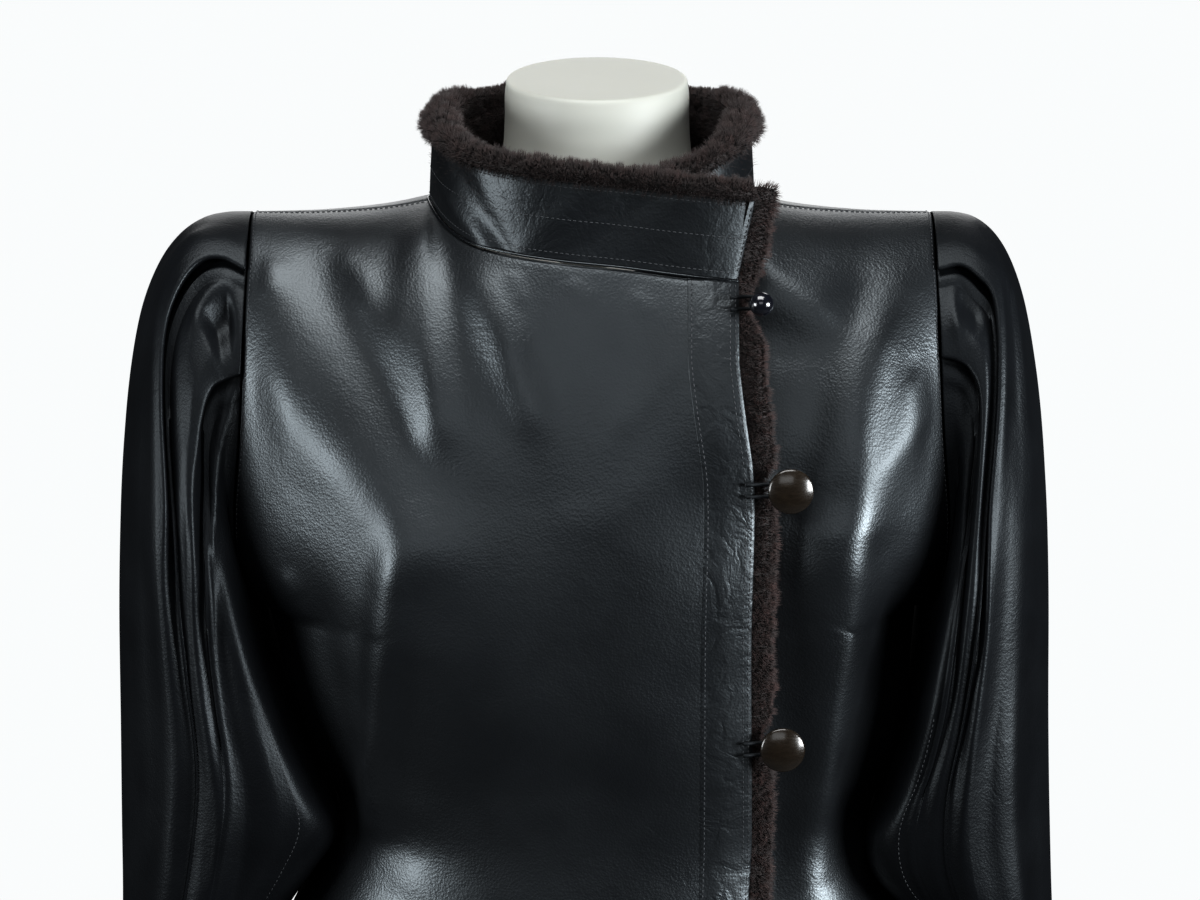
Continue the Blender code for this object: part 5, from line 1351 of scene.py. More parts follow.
def leather_grain_group():
    """Height in millimetres of the leather's pebbles, pores and hair-fine wrinkles; its tone; its gloss."""
    inputs = [("Grain Size", 600.0), ("Grain Depth", 0.06), ("Wrinkle Depth", 0.10)]
    inputs += [("Swell", 0.4), ("Dents", 0.10)]
    group, given, out = new_group("leather grain", inputs, ["Height", "Tone", "Gloss"])
    where = add(group, "ShaderNodeTexCoord").outputs["Object"]
    size = given.outputs["Grain Size"]
    pebble = add(group, "ShaderNodeTexVoronoi", {"Vector": where, "Scale": size, "Randomness": 1.0})

    def noise(scale, detail, **more):
        inputs = {"Vector": where, "Scale": scale, "Detail": detail, **more}
        return add(group, "ShaderNodeTexNoise", inputs)

    pores = noise(1700.0, 2.0)
    lines = noise(46.0, 4.0, Distortion=0.8)
    dents = noise(150.0, 3.0, Roughness=0.55)
    swell = noise(15.0, 2.0)
    tone = noise(8.0, 5.0, Roughness=0.6)
    line = maths(group, "ABSOLUTE", maths(group, "SUBTRACT", lines.outputs[0], 0.5))
    line = maths(group, "SUBTRACT", 1.0, maths(group, "MULTIPLY", line, 9.0))
    line = maths(group, "MAXIMUM", line, 0.0)
    grain = maths(group, "MULTIPLY_ADD", pores.outputs[0], 0.5, pebble.outputs["Distance"])
    height = maths(group, "MULTIPLY", grain, given.outputs["Grain Depth"])
    height = maths(group, "SUBTRACT", height, maths(group, "MULTIPLY", line, given.outputs["Wrinkle Depth"]))
    height = maths(group, "MULTIPLY_ADD", swell.outputs[0], given.outputs["Swell"], height)
    height = maths(group, "MULTIPLY_ADD", dents.outputs[0], given.outputs["Dents"], height)
    group.links.new(height, out.inputs["Height"])
    group.links.new(tone.outputs[0], out.inputs["Tone"])
    group.links.new(swell.outputs[0], out.inputs["Gloss"])
    return group


def start_material(name):
    """A new material, its node tree and its surface shader."""
    material = bpy.data.materials.new(name)
    material.use_nodes = True
    return material, material.node_tree, material.node_tree.nodes["Principled BSDF"]


def bump(tree, shader, height, distance=0.001, strength=1.0):
    """Lets a height texture lift the surface of a shader by a distance."""
    made = add(tree, "ShaderNodeBump", {"Height": height, "Distance": distance, "Strength": strength})
    tree.links.new(made.outputs[0], shader.inputs["Normal"])


def leather_material(name, colour, worn, finish):
    """Coated leather: dark colour that shifts a little, broad soft gloss, fine grain and wrinkles."""
    material, tree, shader = start_material(name)
    group = tree.nodes.new("ShaderNodeGroup")
    group.node_tree = bpy.data.node_groups["leather grain"]
    group.inputs["Grain Size"].default_value = finish.grain
    group.inputs["Grain Depth"].default_value = finish.depth
    group.inputs["Wrinkle Depth"].default_value = finish.wrinkle
    group.inputs["Swell"].default_value = finish.swell
    tone = add(tree, "ShaderNodeMapRange", {"Value": group.outputs["Tone"], 1: 0.35, 2: 0.70, 3: 0.0, 4: 1.0})
    tree.links.new(blend_colours(tree, tone.outputs[0], colour, worn), shader.inputs["Base Color"])
    low, high = finish.rough - 0.05, finish.rough + 0.06
    limits = {"Value": group.outputs["Gloss"], 1: 0.3, 2: 0.7, 3: low, 4: high}
    gloss = add(tree, "ShaderNodeMapRange", limits)
    tree.links.new(gloss.outputs[0], shader.inputs["Roughness"])
    shader.inputs["Specular IOR Level"].default_value = finish.shine
    shader.inputs["Specular Tint"].default_value = (0.86, 0.95, 1.0, 1.0)
    shader.inputs["Coat Weight"].default_value = 0.12 * finish.shine
    shader.inputs["Coat Roughness"].default_value = 0.32
    bump(tree, shader, group.outputs["Height"])
    return material


def fur_material(colours):
    """Pile from a near-black root, painted shade deep in the pile, to a red-brown tip; the share between them
    is written on the strands as the attribute pile.
    """
    material, tree, shader = start_material("sheared fur")
    pile = add(tree, "ShaderNodeAttribute", attribute_name="pile")
    where = add(tree, "ShaderNodeTexCoord").outputs["Object"]
    tufts = add(tree, "ShaderNodeTexNoise", {"Vector": where, "Scale": 120.0, "Detail": 3.0})
    clumped = maths(tree, "MULTIPLY_ADD", tufts.outputs[0], 1.6, -0.15)
    share = maths(tree, "MULTIPLY", pile.outputs["Fac"], clumped)
    tree.links.new(blend_colours(tree, share, colours.fur_root_painted_shade, colours.fur_tip), shader.inputs["Base Color"])
    rough = maths(tree, "MULTIPLY_ADD", tufts.outputs[0], 0.2, 0.55)
    tree.links.new(rough, shader.inputs["Roughness"])
    shader.inputs["Sheen Weight"].default_value = 0.10
    shader.inputs["Sheen Roughness"].default_value = 0.4
    bump(tree, shader, maths(tree, "MULTIPLY", tufts.outputs[0], 0.6))
    return material


def thread_material(colours):
    """Sewing thread: its twist as a very fine, uneven shade."""
    material, tree, shader = start_material("sewing thread")
    where = add(tree, "ShaderNodeTexCoord").outputs["Object"]
    twist = add(tree, "ShaderNodeTexNoise", {"Vector": where, "Scale": 2200.0, "Detail": 1.0})
    dark = tuple(value * 0.6 for value in colours.thread)
    tree.links.new(blend_colours(tree, twist.outputs[0], dark, colours.thread), shader.inputs["Base Color"])
    tree.links.new(maths(tree, "MULTIPLY_ADD", twist.outputs[0], 0.2, 0.45), shader.inputs["Roughness"])
    bump(tree, shader, twist.outputs[0], 0.0001)
    return material


def horn_material(colours):
    """Polished horn: brown with darker drifting streaks under a clear gloss."""
    material, tree, shader = start_material("polished horn")
    where = add(tree, "ShaderNodeTexCoord").outputs["Object"]
    stretch = add(tree, "ShaderNodeMapping", {"Vector": where, "Scale": (1.0, 1.0, 3.5)})
    drift = {"Vector": stretch.outputs[0], "Scale": 150.0, "Detail": 4.0, "Distortion": 1.2}
    streaks = add(tree, "ShaderNodeTexNoise", drift)
    streaked = blend_colours(tree, streaks.outputs[0], colours.horn_dark, colours.horn)
    tree.links.new(streaked, shader.inputs["Base Color"])
    tree.links.new(maths(tree, "MULTIPLY_ADD", streaks.outputs[0], 0.14, 0.20), shader.inputs["Roughness"])
    shader.inputs["Coat Weight"].default_value = 0.8
    shader.inputs["Coat Roughness"].default_value = 0.16
    bump(tree, shader, streaks.outputs[0], 0.00008)
    return material


def ball_material(colours):
    """The ball button: blue-black with a cloudy depth, under a clear gloss."""
    material, tree, shader = start_material("glass ball")
    where = add(tree, "ShaderNodeTexCoord").outputs["Object"]
    cloud = add(tree, "ShaderNodeTexNoise", {"Vector": where, "Scale": 180.0, "Detail": 2.0})
    deep = tuple(value * 0.4 for value in colours.ball)
    tree.links.new(blend_colours(tree, cloud.outputs[0], deep, colours.ball), shader.inputs["Base Color"])
    tree.links.new(maths(tree, "MULTIPLY_ADD", cloud.outputs[0], 0.06, 0.16), shader.inputs["Roughness"])
    shader.inputs["Coat Weight"].default_value = 1.0
    shader.inputs["Coat Roughness"].default_value = 0.12
    return material


def satin_material(colours):
    """Moulded form: warm grey with a soft satin gloss and a very slight unevenness; the warmth is painted
    light bounced off the coat, the grey painted shade on the neck.
    """
    material, tree, shader = start_material("satin white form")
    where = add(tree, "ShaderNodeTexCoord").outputs["Object"]
    cloud = add(tree, "ShaderNodeTexNoise", {"Vector": where, "Scale": 22.0, "Detail": 3.0})
    shade = tuple(value * 0.93 for value in colours.satin)
    tree.links.new(blend_colours(tree, cloud.outputs[0], shade, colours.satin), shader.inputs["Base Color"])
    tree.links.new(maths(tree, "MULTIPLY_ADD", cloud.outputs[0], 0.10, 0.50), shader.inputs["Roughness"])
    shader.inputs["Subsurface Weight"].default_value = 0.08
    shader.inputs["Subsurface Radius"].default_value = (0.006, 0.005, 0.004)
    bump(tree, shader, cloud.outputs[0], 0.0003)
    return material


def steel_material(colours):
    """Satin paint over steel: fine level streaks of shade and roughness round the upright axis."""
    material, tree, shader = start_material("satin paint on steel")
    where = add(tree, "ShaderNodeTexCoord").outputs["Object"]
    stretch = add(tree, "ShaderNodeMapping", {"Vector": where, "Scale": (1.0, 1.0, 60.0)})
    lines = add(tree, "ShaderNodeTexNoise", {"Vector": stretch.outputs[0], "Scale": 40.0, "Detail": 4.0})
    dull = tuple(value * 0.8 for value in colours.steel)
    tree.links.new(blend_colours(tree, lines.outputs[0], dull, colours.steel), shader.inputs["Base Color"])
    tree.links.new(maths(tree, "MULTIPLY_ADD", lines.outputs[0], 0.10, 0.36), shader.inputs["Roughness"])
    bump(tree, shader, lines.outputs[0], 0.00005)
    return material


# ---------------------------------------------------------------- fur
def fur_strands(grid, weights, sizes, seed, count, length, lean):
    """Strands rooted on a closed grid: arrays of points, faces and pile shade, a random tone with painted
    shade at each root.

    A root lies at random in a face chosen by area times weight. Roots in one cell of TUFT_SIZE make a tuft:
    its strands bend towards a common tip, which stands off the surface along the normal, tilted by lean.
    """
    random = np.random.default_rng(seed)
    around = np.concatenate([grid, grid[:, :1]], axis=1)
    a, b = around[:-1, :-1], around[:-1, 1:]
    c, d = around[1:, 1:], around[1:, :-1]
    normal = unit(np.cross(c - a, d - b))
    area = np.linalg.norm(np.cross(c - a, d - b), axis=-1) / 2
    chance = (area * weights).ravel()
    pick = random.choice(chance.size, count, p=chance / chance.sum())
    u, v = random.random((2, count, 1))
    flat = [corner.reshape(-1, 3)[pick] for corner in (a, b, c, d)]
    root = flat[0] * (1 - u) * (1 - v) + flat[1] * u * (1 - v) + flat[2] * u * v + flat[3] * (1 - u) * v
    out = normal.reshape(-1, 3)[pick]
    cell = np.floor(root / TUFT_SIZE + random.random(3)).astype(np.int64)
    key = (cell * CELL_KEYS).sum(axis=1)
    _, tuft = np.unique(key, return_inverse=True)
    members = np.bincount(tuft)[:, None]
    centre = np.stack([np.bincount(tuft, root[:, axis]) for axis in range(3)], axis=1) / members
    facing = unit(np.stack([np.bincount(tuft, out[:, axis]) for axis in range(3)], axis=1))
    tilt = random.normal(0, TUFT_TILT, centre.shape)
    tall = length * random.uniform(*TUFT_HEIGHTS, len(centre))
    tall = tall * (1 - PILE_SHORTER_BEHIND * rise_between(centre[:, 1], PILE_BEHIND_Y))
    shade = random.uniform(*TUFT_SHADES, len(centre))
    peak = centre + unit(facing + tilt + lean) * tall[:, None]
    lifted = unit(out + lean + random.normal(0, STRAND_TILT, root.shape))
    own = root + lifted * (tall[tuft] * random.uniform(*STRAND_HEIGHTS, count))[:, None]
    tip = own + (peak[tuft] - own) * random.uniform(*STRAND_GATHERS, (count, 1))
    way = tip - root
    root = root - out * ROOT_DEPTH
    side = unit(np.cross(way, random.normal(0, 1, root.shape)))
    other = unit(np.cross(way, side))
    wide = sizes.strand_width / 2 * random.uniform(*STRAND_WIDTHS, (count, 1))
    ring = [side * np.cos(turn) + other * np.sin(turn) for turn in STRAND_CORNERS]
    points = [root + some * wide for some in ring] + [tip]
    faces = np.array([(0, 2, 1), (0, 1, 3), (1, 2, 3), (2, 0, 3)])[None] + 4 * np.arange(count)[:, None, None]
    # painted shade: the three root points near black, the tip at the strand's tone
    deep = np.array([ROOT_PAINTED_SHADE, ROOT_PAINTED_SHADE, ROOT_PAINTED_SHADE, 1.0])
    pile = deep[None, :] * (shade[tuft] * random.uniform(*STRAND_SHADES, count))[:, None]
    return np.stack(points, axis=1).reshape(-1, 3), faces.reshape(-1, 3), pile.ravel()


def fur_piece(name, points, faces, pile, material):
    """A piece of fur whose points carry how light they are as the attribute pile: random tone, and painted
    shade at the roots and the backing.
    """
    piece = new_piece(name, points, faces, material, "fur")
    attribute = piece.data.attributes.new("pile", "FLOAT", "POINT")
    attribute.data.foreach_set("value", pile.astype(np.float32))
    return piece


# ---------------------------------------------------------------- sizes and colours that a user may change
def colour_property(name, description, value):
    """A colour that a user may change."""
    limits = {"size": 3, "subtype": "COLOR", "min": 0, "max": 1}
    return FloatVectorProperty(name=name, description=description, default=value, **limits)


def length_property(name, description, value):
    """A length in metres that a user may change."""
    limits = {"min": 0.0001, "unit": "LENGTH", "precision": 4}
    return FloatProperty(name=name, description=description, default=value, **limits)


def count_property(name, description, value):
    """A number of strands that a user may change."""
    return IntProperty(name=name, description=description, default=value)


class CoatSizes(bpy.types.PropertyGroup):
    fine_row: length_property("Fine row", "Distance between rows of the leather above the waist", 0.0036)
    coarse_row: length_property("Coarse row", "Distance between rows of the leather below it", 0.0100)
    fine_from: length_property("Fine from", "Height at which fine rows start", 1.0)
    stitch_pitch: length_property("Stitch pitch", "Distance from stitch to stitch", 0.0031)
    stitch_length: length_property("Stitch length", "Length of thread that shows in a stitch", 0.0021)
    stitch_width: length_property("Thread width", "Width of the sewing thread", 0.00055)
    strand_width: length_property("Strand width", "Width of a strand of fur at its root", 0.00044)
    pile_length: length_property("Pile length", "Length of the sheared pile", 0.0054)
    collar_strands: count_property("Collar strands", "Strands on each half of the collar's fur", 37000)
    front_strands: count_property("Front strands", "Strands on the front edge's fur", 33500)


class CoatColours(bpy.types.PropertyGroup):
    leather: colour_property("Leather", "Main colour of the coated leather", (0.0040, 0.0046, 0.0058))
    worn: colour_property("Worn leather", "Colour where the finish is rubbed", (0.0085, 0.0098, 0.0118))
    # painted shade: the near-black root colour stands for the shade deep in the pile
    fur_root_painted_shade: colour_property("Fur root", "Deep colour between the tufts", (0.0060, 0.0027, 0.0024))
    fur_tip: colour_property("Fur tip", "Colour of the tips", (0.0760, 0.0340, 0.0285))
    thread: colour_property("Thread", "Sewing thread", (0.0700, 0.0750, 0.0820))
    horn: colour_property("Horn", "Light streaks of the buttons", (0.0260, 0.0180, 0.0110))
    horn_dark: colour_property("Dark horn", "Dark streaks of the buttons", (0.0070, 0.0050, 0.0035))
    ball: colour_property("Ball", "The ball button at the collar", (0.0100, 0.0115, 0.0180))
    # painted light: the form's colour is a warm grey; its warmth paints light bounced off the coat and its
    # grey paints the shade on the neck
    satin: colour_property("Form", "Satin finish of the dress form", (0.4100, 0.4150, 0.3830))
    steel: colour_property("Steel", "Pole and base", (0.7000, 0.7000, 0.6900))
    studio: colour_property("Studio", "Pale floor and surround", (0.7320, 0.7420, 0.7450))


def sizes_of(context):
    """The sizes that a user may change."""
    return context.scene.coat_sizes


def colours_of(context):
    """The colours that a user may change."""
    return context.scene.coat_colours


def leather(context, kind="panel"):
    """The coat's leather, made once: smooth on the panels, and more wrinkled on the band and the collar."""
    name = f"{kind} leather"
    if name in bpy.data.materials:
        return bpy.data.materials[name]
    if "leather grain" not in bpy.data.node_groups:
        leather_grain_group()
    colours = colours_of(context)
    return leather_material(name, colours.leather, colours.worn, LEATHERS[kind])


def once(name, make, *values):
    """The material of this name, made when first asked for."""
    return bpy.data.materials[name] if name in bpy.data.materials else make(*values)


# ---------------------------------------------------------------- operators
class COAT_OT_stage(bpy.types.Operator):
    """Builds the pale floor, the soft lights, the surround and the camera"""

    bl_idname = "coat.stage"
    bl_label = "Stage"

    def execute(self, context):
        studio = tuple(colours_of(context).studio)
        rings = np.array([(radius, FLOOR_HEIGHT) for radius in FLOOR_RADII])
        floor_points = turned_points(rings, FLOOR_SIDES)
        quads = grid_quads(len(rings), FLOOR_SIDES, closed=True)
        floor, tree, shader = start_material("pale floor")
        where = add(tree, "ShaderNodeTexCoord").outputs["Object"]
        reach = add(tree, "ShaderNodeVectorMath", {0: where}, operation="LENGTH").outputs["Value"]
        fading = {"Value": reach, 1: 0.9, 2: 2.9, 3: 1.0, 4: 0.0}
        solid = add(tree, "ShaderNodeMapRange", fading, interpolation_type="SMOOTHSTEP")
        cloud = add(tree, "ShaderNodeTexNoise", {"Vector": where, "Scale": 3.0, "Detail": 3.0})
        pale = blend_colours(tree, cloud.outputs[0], tuple(c * 0.96 for c in studio), studio)
        # painted shade: the camera sees the pale floor, every other ray sees it dark
        ray = add(tree, "ShaderNodeLightPath").outputs["Is Camera Ray"]
        tree.links.new(blend_colours(tree, ray, FLOOR_SHADE_IN_REFLECTIONS, pale), shader.inputs["Base Color"])
        tree.links.new(solid.outputs[0], shader.inputs["Alpha"])
        shader.inputs["Roughness"].default_value = 0.7
        mesh = bpy.data.meshes.new("floor")
        middle = np.array([[0.0, 0.0, FLOOR_HEIGHT]])
        points = np.concatenate([floor_points.reshape(-1, 3), middle])
        inner = [(FLOOR_SIDES * len(rings), (k + 1) % FLOOR_SIDES, k) for k in range(FLOOR_SIDES)]
        mesh.from_pydata(points.tolist(), [], [tuple(q) for q in quads.tolist()] + inner)
        mesh.materials.append(floor)
        ground = bpy.data.objects.new("floor", mesh)
        context.scene.collection.objects.link(ground)

        for name, place, aim, size, watts, tint in STUDIO_LIGHTS:
            lamp = bpy.data.lights.new(name, "AREA")
            lamp.shape = "RECTANGLE"
            lamp.size, lamp.size_y = size
            lamp.energy = watts
            lamp.color = tint
            holder = bpy.data.objects.new(name, lamp)
            context.scene.collection.objects.link(holder)
            place_at, aim_at = np.array(place), np.array(aim)
            back = unit(place_at - aim_at)
            right = unit(np.cross([0.0, 0.0, 1.0], back))
            up = np.cross(back, right)
            turn = np.eye(4)
            turn[:3, 0], turn[:3, 1], turn[:3, 2], turn[:3, 3] = right, up, back, place_at
            holder.matrix_world = Matrix(turn.tolist())
            holder.visible_camera = False

        world = bpy.data.worlds.new("studio")
        world.use_nodes = True
        tree = world.node_tree
        seen = tree.nodes["Background"]
        seen.inputs["Color"].default_value = (*studio, 1.0)
        seen.inputs["Strength"].default_value = 1.0
        fill = add(tree, "ShaderNodeBackground", {"Color": (*studio, 1.0), "Strength": ROOM_LIGHT})
        ray = add(tree, "ShaderNodeLightPath")
        choice = {0: ray.outputs["Is Camera Ray"], 1: fill.outputs[0], 2: seen.outputs[0]}
        mixed = add(tree, "ShaderNodeMixShader", choice)
        tree.links.new(mixed.outputs[0], tree.nodes["World Output"].inputs["Surface"])
        context.scene.world = world
        context.scene.view_settings.view_transform = "Standard"
        context.scene.view_settings.look = "None"
        context.scene.view_settings.exposure = EXPOSURE
        context.scene.view_settings.gamma = CONTRAST

        camera = bpy.data.cameras.new("camera")
        camera.sensor_width = 36.0
        camera.lens = CAMERA_LENS
        holder = bpy.data.objects.new("camera", camera)
        context.scene.collection.objects.link(holder)
        back = np.array([0.0, -np.cos(CAMERA_DOWN), np.sin(CAMERA_DOWN)])
        holder.location = CAMERA_AIM + CAMERA_DISTANCE * back
        holder.rotation_euler = (np.pi / 2 - CAMERA_DOWN, 0.0, 0.0)
        context.scene.camera = holder
        return {"FINISHED"}


class COAT_OT_fronts(bpy.types.Operator):
    """Builds the two fronts and the stitched band of the front edge"""

    bl_idname = "coat.fronts"
    bl_label = "Fronts"

    def execute(self, context):
        sizes = sizes_of(context)
        levels = even_levels(sizes.fine_from, sizes.fine_row, sizes.coarse_row)
        columns = right_front_grid(levels, RIGHT_COLUMNS)
        right = front_piece(-1, columns, levels, RIGHT_CREASES)
        out = -grid_normals(right)
        smooth = roll_edges(right, out, right=True, top=True)
        panel = cloth_piece("right_front_leather", smooth, leather(context))
        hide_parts("right_front")

        band_columns = 1 + len(BAND_STEPS)
        inner = 1 - np.concatenate([[0.0], BAND_STEPS]) / BAND_WIDTH
        lift = WALL / 2 + BAND_CLEAR + BAND_THICKNESS / 2
        edge_soft = BAND_EDGE + (1 - BAND_EDGE) * ease(inner / BAND_EASES)
        raised = right[:, :band_columns] + out[:, :band_columns] * (lift * edge_soft)[None, :, None]
        raised = roll_edges(raised, out[:, :band_columns], left=True, top=True, **BAND_ROLL)
        band = cloth_piece("front_band_leather", raised, leather(context, "band"), thickness=BAND_THICKNESS)
        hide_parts("front_band")

        neck = front_neck_share(1)
        left_columns = even_columns(0.0, neck, LEFT_COLUMNS)
        left = front_piece(1, left_columns, levels, LEFT_CREASES)
        smooth = roll_edges(left, grid_normals(left), right=True, top=True)
        panel = cloth_piece("left_front_leather", smooth, leather(context), flip=True)
        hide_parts("left_front")
        return {"FINISHED"}


class COAT_OT_back(bpy.types.Operator):
    """Builds the back of the coat"""

    bl_idname = "coat.back"
    bl_label = "Back"

    def execute(self, context):
        sizes = sizes_of(context)
        fine, coarse = (size * more for size, more in zip((sizes.fine_row, sizes.coarse_row), BACK_COARSER))
        levels = even_levels(sizes.fine_from, fine, coarse)
        share = neck_share(0.0, back_turn, "back", ARMHOLE_BACK)
        half = even_columns(0.0, share, BACK_COLUMNS)
        columns = np.concatenate([0.5 - half[:0:-1] / 2, 0.5 + half / 2])
        grid = back_piece(columns, levels, BACK_CREASES)
        smooth = roll_edges(grid, -grid_normals(grid), left=True, right=True, top=True)
        panel = cloth_piece("back_leather", smooth, leather(context), flip=True)
        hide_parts("back")
        return {"FINISHED"}


class COAT_OT_sleeves(bpy.types.Operator):
    """Builds both sleeves with the pleats of their heads"""

    bl_idname = "coat.sleeves"
    bl_label = "Sleeves"

    def execute(self, context):
        for side, name in ((-1, "right"), (1, "left")):
            pleats = RIGHT_PLEATS if side < 0 else LEFT_PLEATS
            creases = RIGHT_SLEEVE_CREASES if side < 0 else LEFT_SLEEVE_CREASES
            grid = sleeve_piece(side, SLEEVE_RINGS, SLEEVE_COUNTS, pleats, creases)
            # the sleeves take the duller copy of the leather: painted shade
            cloth = leather(context, "sleeve")
            piece = cloth_piece(f"sleeve_{name}_leather", grid, cloth, closed=True, flip=side > 0)
            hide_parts(f"sleeve_{name}")
        return {"FINISHED"}


class COAT_OT_collar(bpy.types.Operator):
    """Builds the stand collar and the rolled seam at its foot"""

    bl_idname = "coat.collar"
    bl_label = "Collar"

    def execute(self, context):
        grid = collar_points(COLLAR_STATIONS, [(share, 0.0) for share in COLLAR_LEVELS])
        outward = -grid_normals(grid)
        grid = grid + outward * collar_creases(grid)[..., None]
        grid = roll_edges(grid, outward, left=True, top=True)
        piece = cloth_piece("collar_leather", grid, leather(context, "collar"), flip=True)
        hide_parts("collar")

        base, level_out = collar_base_line()
        path = base + level_out * (WALL / 2 + PIPING_RADIUS + BAND_CLEAR) - np.array([0.0, 0.0, PIPING_DROP])
        run = run_along(path)
        ripples = np.sin(run / PIPING_RIPPLES[0]) * np.sin(run / PIPING_RIPPLES[1])
        ring = tube(path, PIPING_RADIUS * (1 + PIPING_UNEVEN * ripples), CORD_SIDES)
        faces = capped_tube_faces(len(path), CORD_SIDES, flip=True)
        new_piece("collar_seam_roll", ring.reshape(-1, 3), faces, leather(context, "piping"), "leather")
        return {"FINISHED"}


def collar_shown(points):
    """How many of the collar's stations, from its front end, lie before it passes under the lap."""
    hidden = (points[:, 0] < COLLAR_SHOWN_X) & (points[:, 1] < 0)
    hidden[: len(points) // 2] = False
    return len(points) - int(hidden.sum())


def collar_base_line():
    """The collar's lower edge as far as it shows, and the level ways out of it."""
    base, outward = collar_frame(COLLAR_STATIONS)[:2]
    shown = collar_shown(base)
    return base[:shown], outward[:shown]


def collar_creases(grid):
    """The collar's soft diagonal creases, each a ridge along x + k z = constant on the front half."""
    x, y, z = grid[..., 0], grid[..., 1], grid[..., 2]
    front = rise_between(y, COLLAR_CREASES_Y)
    total = np.zeros_like(x)
    for middle, lean, width, height in COLLAR_CREASES:
        away = x - middle - lean * (z - COLLAR_CREASE_HEIGHT)
        total += height * np.exp(-((away / width) ** 2))
    return total * front


class COAT_OT_collar_fur(bpy.types.Operator):
    """Builds the fur inside the collar and over its rim, strand by strand"""

    bl_idname = "coat.collar_fur"
    bl_label = "Collar fur"

    def execute(self, context):
        sizes = sizes_of(context)
        material = once("sheared fur", fur_material, colours_of(context))
        fine = smooth_section(COLLAR_FUR, SECTION_STEPS)
        heights, outs = [(p[0], p[1]) for p in fine], [p[2] for p in fine]
        grid = collar_points(COLLAR_FUR_STATIONS, heights, outs)[:, 2:-2]
        grid = grid.transpose(1, 0, 2)
        centre = grid.mean(axis=1, keepdims=True)
        body = centre + (grid - centre) * COLLAR_BACKING
        rows, columns = body.shape[:2]
        faces = capped_tube_faces(rows, columns)
        # painted shade: the backing under the strands is painted near the root colour
        dark = np.full(rows * columns, BACKING_PAINTED_SHADE)
        backing = fur_piece("collar_fur_backing", body.reshape(-1, 3), faces, dark, material)
        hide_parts("collar_fur")
        place = np.arange(columns) / SECTION_STEPS
        rim = np.exp(-(((place - FUR_RIM) / FUR_RIM_WIDTH) ** 2))
        inner = (place > FUR_INNER_PART[0]) & (place < FUR_INNER_PART[1])
        inside = np.where(inner, FUR_INNER_SHARE, 0.0)
        weights = np.broadcast_to((rim + inside)[None, :], (rows - 1, columns)).copy()
        halves = ((0, rows // 2), (rows // 2 - 1, rows))
        for number, (first, last) in enumerate(halves):
            points, faces, pile = fur_strands(
                body[first:last],
                weights[first : last - 1],
                sizes,
                seed=COLLAR_FUR_SEEDS[number],
                count=sizes.collar_strands,
                length=sizes.pile_length,
                lean=COLLAR_FUR_LEAN,
            )
            name = ("collar_fur_right", "collar_fur_left")[number]
            fur_piece(name, points, faces, pile * COLLAR_PILE_SHADE, material)
        return {"FINISHED"}


def smooth_section(table, per_step):
    """A closed section's share, rise and out values, each a cubic of the point's number round the ring."""
    values = np.array([tuple(point) for point in table])
    looped = np.concatenate([values[-2:], values, values[:3]])
    places = np.arange(len(looped), dtype=float)
    fine = 2 + np.arange(len(values) * per_step) / per_step
    made = np.stack([smooth_through(fine, places, looped[:, axis]) for axis in range(3)], axis=1)
    made[:, 0] = np.interp(fine, places, looped[:, 0])
    return made


class COAT_OT_front_fur(bpy.types.Operator):
    """Builds the fur along the front edge, strand by strand"""

    bl_idname = "coat.front_fur"
    bl_label = "Front fur"

    def execute(self, context):
        sizes = sizes_of(context)
        material = once("sheared fur", fur_material, colours_of(context))
        ring = strip_points(STRIP_LEVELS, STRIP_SIDES)
        rows, columns = ring.shape[:2]
        centre = ring.mean(axis=1, keepdims=True)
        body = centre + (ring - centre) * STRIP_BACKING
        middle, rim = centre[-1:], body[-1:]
        up = unit(centre[-1] - centre[-2])
        dome = [middle + (rim - middle) * share + up * rise for share, rise in STRIP_DOME]
        body = np.concatenate([body, *dome])
        rows += len(STRIP_DOME)
        faces = capped_tube_faces(rows, columns)
        # painted shade: the backing under the strands is painted near the root colour
        dark = np.full(rows * columns, BACKING_PAINTED_SHADE)
        backing = fur_piece("front_fur_backing", body.reshape(-1, 3), faces, dark, material)
        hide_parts("front_fur")
        turn = 2 * np.pi * (np.arange(columns) + 0.5) / columns
        weights = STRIP_FUR_LEAST + np.clip(np.cos(turn + STRIP_FUR_TURN), 0, 1)
        weights = np.broadcast_to(weights, (rows - 1, columns)).copy()
        weights[body[:-1, 0, 2] < STRIP_FUR_LOW] *= STRIP_FUR_LOW_SHARE
        points, faces, pile = fur_strands(
            body,
            weights,
            sizes,
            seed=FRONT_FUR_SEED,
            count=sizes.front_strands,
            length=sizes.pile_length,
            lean=FRONT_FUR_LEAN,
        )
        fur_piece("front_fur_pile", points, faces, pile, material)
        return {"FINISHED"}


def edge_at(height):
    """Point of the right front's free edge at this height."""
    points = front_piece(-1, BY_EDGE, EDGE_STEPS)[:, 0]
    return np.array([np.interp(height, points[:, 2], points[:, axis]) for axis in range(3)])


def face_depth(side, x, height, reach):
    """y of a front's outer face where it stands furthest forward, within a short reach of x and height."""
    points = front_piece(side, FACE_COLUMNS, FACE_LEVELS).reshape(-1, 3)
    near = np.hypot(points[:, 0] - x, points[:, 2] - height) < reach
    return float(points[near, 1].min()) - WALL / 2


def disc_profile(shank):
    """A turned horn button: a smooth dome down to a rounded rim, and a flat back."""
    return np.array([*DISC, (SHANK_RADIUS, -shank), (DISC[0].radius, -shank)])


def ball_profile(shank):
    """The ball button on its shank: a circle of BALL_RADIUS down to where the shank leaves it."""
    turns = np.linspace(0.001, np.pi - np.arcsin(SHANK_RADIUS / BALL_RADIUS), BALL_TURNS)
    ball = [(BALL_RADIUS * np.sin(turn), BALL_RADIUS * np.cos(turn)) for turn in turns]
    return np.array([*ball, (SHANK_RADIUS, -shank), (DISC[0].radius, -shank)])


